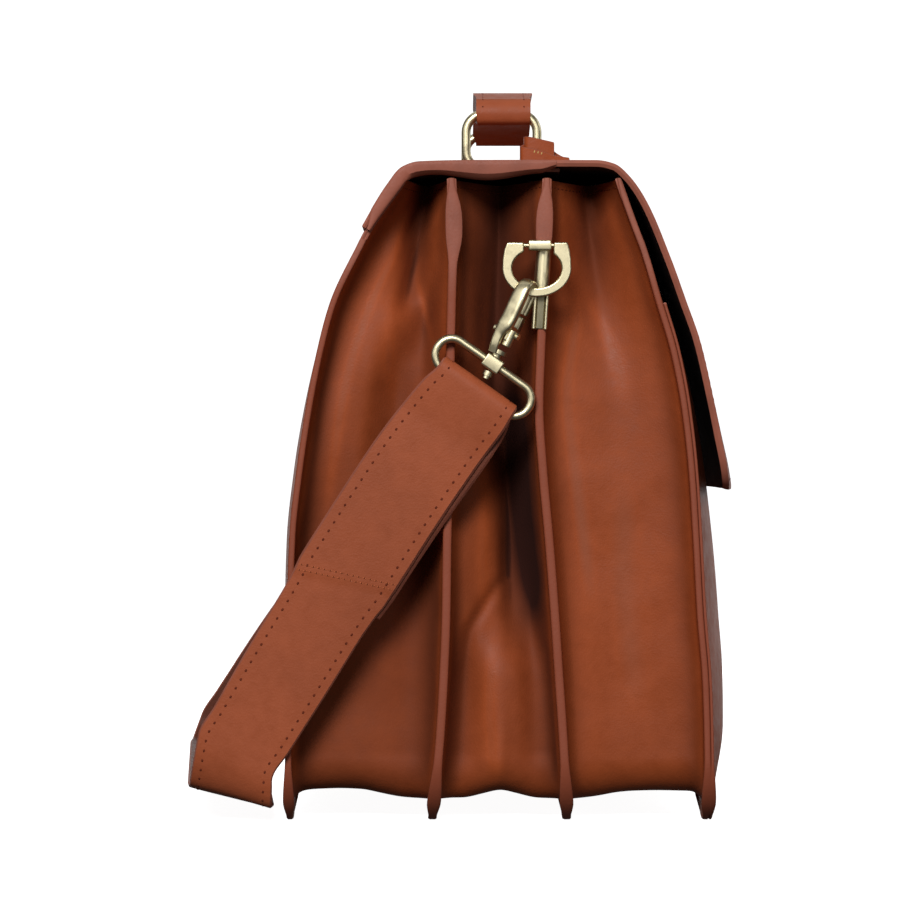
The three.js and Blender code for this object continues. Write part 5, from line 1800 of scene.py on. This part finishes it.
class BriefcaseSizes(bpy.types.PropertyGroup):
    """Sizes of the stitching and of the stage."""

    strap_pitch: bpy.props.FloatProperty(
        name="Strap stitch", description="Distance between stitches of the strap, in millimetres",
        default=4.6, min=1)
    seam_pitch: bpy.props.FloatProperty(
        name="Seam stitch", description="Distance between stitches of the bag's seams, in millimetres",
        default=4.2, min=1)
    camera_distance: bpy.props.FloatProperty(
        name="Camera distance", description="From the camera to the middle of the bag", subtype="DISTANCE",
        unit="LENGTH", default=2.1, min=0.5)
    lens: bpy.props.FloatProperty(
        name="Lens", description="Focal length of the camera", subtype="DISTANCE_CAMERA",
        default=163.4, min=20)


# Operators

class MakePanels(bpy.types.Operator):
    """Make the back, the two dividers, the front and its pocket"""
    bl_idname = "briefcase.make_panels"
    bl_label = "Panels"

    def execute(self, context):
        make_panels()
        return {"FINISHED"}


class MakeGussets(bpy.types.Operator):
    """Make the three folded gussets"""
    bl_idname = "briefcase.make_gussets"
    bl_label = "Gussets"

    def execute(self, context):
        make_gussets()
        return {"FINISHED"}


class MakeFlap(bpy.types.Operator):
    """Make the flap and its closing plate"""
    bl_idname = "briefcase.make_flap"
    bl_label = "Flap"

    def execute(self, context):
        make_flap()
        return {"FINISHED"}


class MakeHandle(bpy.types.Operator):
    """Make the handle, its rings and tabs, and the key loop"""
    bl_idname = "briefcase.make_handle"
    bl_label = "Handle"

    def execute(self, context):
        make_handle()
        return {"FINISHED"}


class MakeStrap(bpy.types.Operator):
    """Make the shoulder strap"""
    bl_idname = "briefcase.make_strap"
    bl_label = "Shoulder strap"

    def execute(self, context):
        make_strap()
        return {"FINISHED"}


class MakeHardware(bpy.types.Operator):
    """Make the posts, rings, snap hooks and wire loops at both ends"""
    bl_idname = "briefcase.make_hardware"
    bl_label = "Strap hardware"

    def execute(self, context):
        make_hardware()
        return {"FINISHED"}


class MakeStitches(bpy.types.Operator):
    """Sew the strap, the seams, the flap, the handle and the key loop"""
    bl_idname = "briefcase.make_stitches"
    bl_label = "Stitches"

    def execute(self, context):
        sizes = context.scene.briefcase_sizes
        edges, crossings = strap_lines()
        strap, seam, cross = sizes.strap_pitch, sizes.seam_pitch, 2.6
        make_stitches("strap_stitches", edges, strap, (0.34, 1.15, 0.5), "thread", "bag")
        make_stitches("strap_cross_stitches", crossings, cross, (0.36, 0.8, 0.5), "thread", "bag")
        make_stitches("strap_cross_thread", crossings, cross, (0.9, 0.5, 0.45), "light_thread", "bag")
        seams, tops = panel_edge_lines(), gusset_top_lines()
        make_stitches("seam_stitches", seams, seam, (0.62, 0.7, 0.25), "thread", "bag")
        make_stitches("gusset_stitches", tops, 3.0, (0.62, 0.7, 0.55), "thread", "bag")
        make_stitches("handle_stitches", handle_lines(), strap, (0.34, 0.8, 0.12), "thread", "grip")
        make_stitches("key_loop_stitches", key_loop_lines(), 1.3, (0.5, 1.5, 0.5), "gilt_thread", "ring_near")
        return {"FINISHED"}


class MakeStage(bpy.types.Operator):
    """Set up the floor, the lights and the camera"""
    bl_idname = "briefcase.make_stage"
    bl_label = "Stage"

    def execute(self, context):
        make_floor()
        make_lights()
        make_camera(context.scene)
        return {"FINISHED"}


def make_floor():
    """A floor that curves up into a backdrop far behind the bag."""
    start, reach, half_width = -6.0, 4.0, 6.0
    radius, height = 1.2, 5.0
    line = [(start, 0.0), (reach - radius, 0.0)]
    for angle in np.linspace(0, np.pi / 2, 16)[1:]:
        line.append((reach - radius + radius * math.sin(angle), radius * (1 - math.cos(angle))))
    line.append((reach, height))
    points = [(x, side * half_width, z) for x, z in line for side in (-1, 1)]
    faces = [(2 * k, 2 * k + 2, 2 * k + 3, 2 * k + 1) for k in range(len(line) - 1)]
    mesh = bpy.data.meshes.new("studio_floor")
    mesh.from_pydata(points, [], faces)
    mesh.polygons.foreach_set("use_smooth", [True] * len(faces))
    mesh.materials.append(finish("paper"))
    floor = bpy.data.objects.new("studio_floor", mesh)
    floor.visible_diffuse = False
    floor.visible_glossy = False
    bpy.context.scene.collection.objects.link(floor)


def add_softbox(name, place, target, width, height, power, only=None):
    """An area light turned to a target, for all pieces or only for those of a collection."""
    light = bpy.data.lights.new(name, "AREA")
    light.shape = "RECTANGLE"
    light.size = width
    light.size_y = height
    light.energy = power
    lamp = bpy.data.objects.new(name, light)
    lamp.location = place
    lamp.rotation_euler = (Vector(target) - Vector(place)).to_track_quat("-Z", "Y").to_euler()
    lamp.visible_camera = False
    bpy.context.scene.collection.objects.link(lamp)
    if only:
        lamp.light_linking.receiver_collection = only


def make_lights():
    middle = (0.0, 0.0, 0.16)
    add_softbox("key_softbox", (-2.2, 0.35, 1.3), (-0.2, 0.0, 0.15), 0.8, 0.8, 50)
    add_softbox("fill_softbox", (-1.9, -1.1, 0.6), middle, 0.9, 0.9, 4)
    add_softbox("top_softbox", (0.2, 0.0, 2.0), middle, 2.4, 1.6, 8)
    add_softbox("rim_softbox", (1.2, 0.0, 0.5), middle, 2.4, 1.2, 8)
    add_softbox("front_softbox", (0.5, -2.4, 1.1), middle, 2.0, 1.4, 14)
    metal = bpy.data.collections.new("metal_pieces")
    for piece in bpy.context.scene.objects:
        if piece.name.endswith("_brass"):
            metal.objects.link(piece)
    add_softbox("metal_card", (-2.8, 0.0, 0.7), middle, 4.0, 3.0, 18, metal)
    add_softbox("metal_side_card", (-1.6, 2.0, 1.1), middle, 1.8, 1.8, 12, metal)
    world = bpy.data.worlds.new("studio")
    world.use_nodes = True
    background = next(node for node in world.node_tree.nodes if node.type == "BACKGROUND")
    background.inputs["Color"].default_value = (1.0, 1.0, 1.0, 1.0)
    background.inputs["Strength"].default_value = 0.06
    bpy.context.scene.world = world


def make_camera(scene):
    sizes = scene.briefcase_sizes
    camera = bpy.data.cameras.new("camera")
    camera.lens = sizes.lens
    camera.sensor_width = 36.0
    camera.clip_end = 100.0
    holder = bpy.data.objects.new("camera", camera)
    holder.location = (-sizes.camera_distance, (CAMERA_Y + SHIFT_Y) * MM, CAMERA_Z * MM)
    holder.rotation_euler = (math.radians(90), 0.0, math.radians(-90))
    scene.collection.objects.link(holder)
    scene.camera = holder
    scene.view_settings.view_transform = "Standard"


class BriefcasePanel(bpy.types.Panel):
    """Buttons and settings of the briefcase"""
    bl_idname = "VIEW3D_PT_briefcase"
    bl_label = "Briefcase"
    bl_space_type = "VIEW_3D"
    bl_region_type = "UI"
    bl_category = "Briefcase"

    def draw(self, context):
        scene = context.scene
        for operator in OPERATORS:
            self.layout.operator(operator.bl_idname)
        for settings in (scene.briefcase_colours, scene.briefcase_sizes):
            for name in settings.__annotations__:
                self.layout.prop(settings, name)


OPERATORS = (MakePanels, MakeGussets, MakeFlap, MakeHandle, MakeStrap, MakeHardware, MakeStitches, MakeStage)
CLASSES = (BriefcaseColours, BriefcaseSizes, *OPERATORS, BriefcasePanel)


def register():
    for cls in CLASSES:
        bpy.utils.register_class(cls)
    bpy.types.Scene.briefcase_colours = bpy.props.PointerProperty(type=BriefcaseColours)
    bpy.types.Scene.briefcase_sizes = bpy.props.PointerProperty(type=BriefcaseSizes)


def unregister():
    del bpy.types.Scene.briefcase_colours
    del bpy.types.Scene.briefcase_sizes
    for cls in reversed(CLASSES):
        bpy.utils.unregister_class(cls)


def main():
    register()
    bpy.ops.briefcase.make_panels()
    bpy.ops.briefcase.make_gussets()
    bpy.ops.briefcase.make_flap()
    bpy.ops.briefcase.make_handle()
    bpy.ops.briefcase.make_strap()
    bpy.ops.briefcase.make_hardware()
    bpy.ops.briefcase.make_stitches()
    bpy.ops.briefcase.make_stage()


if __name__ == "__main__":
    main()
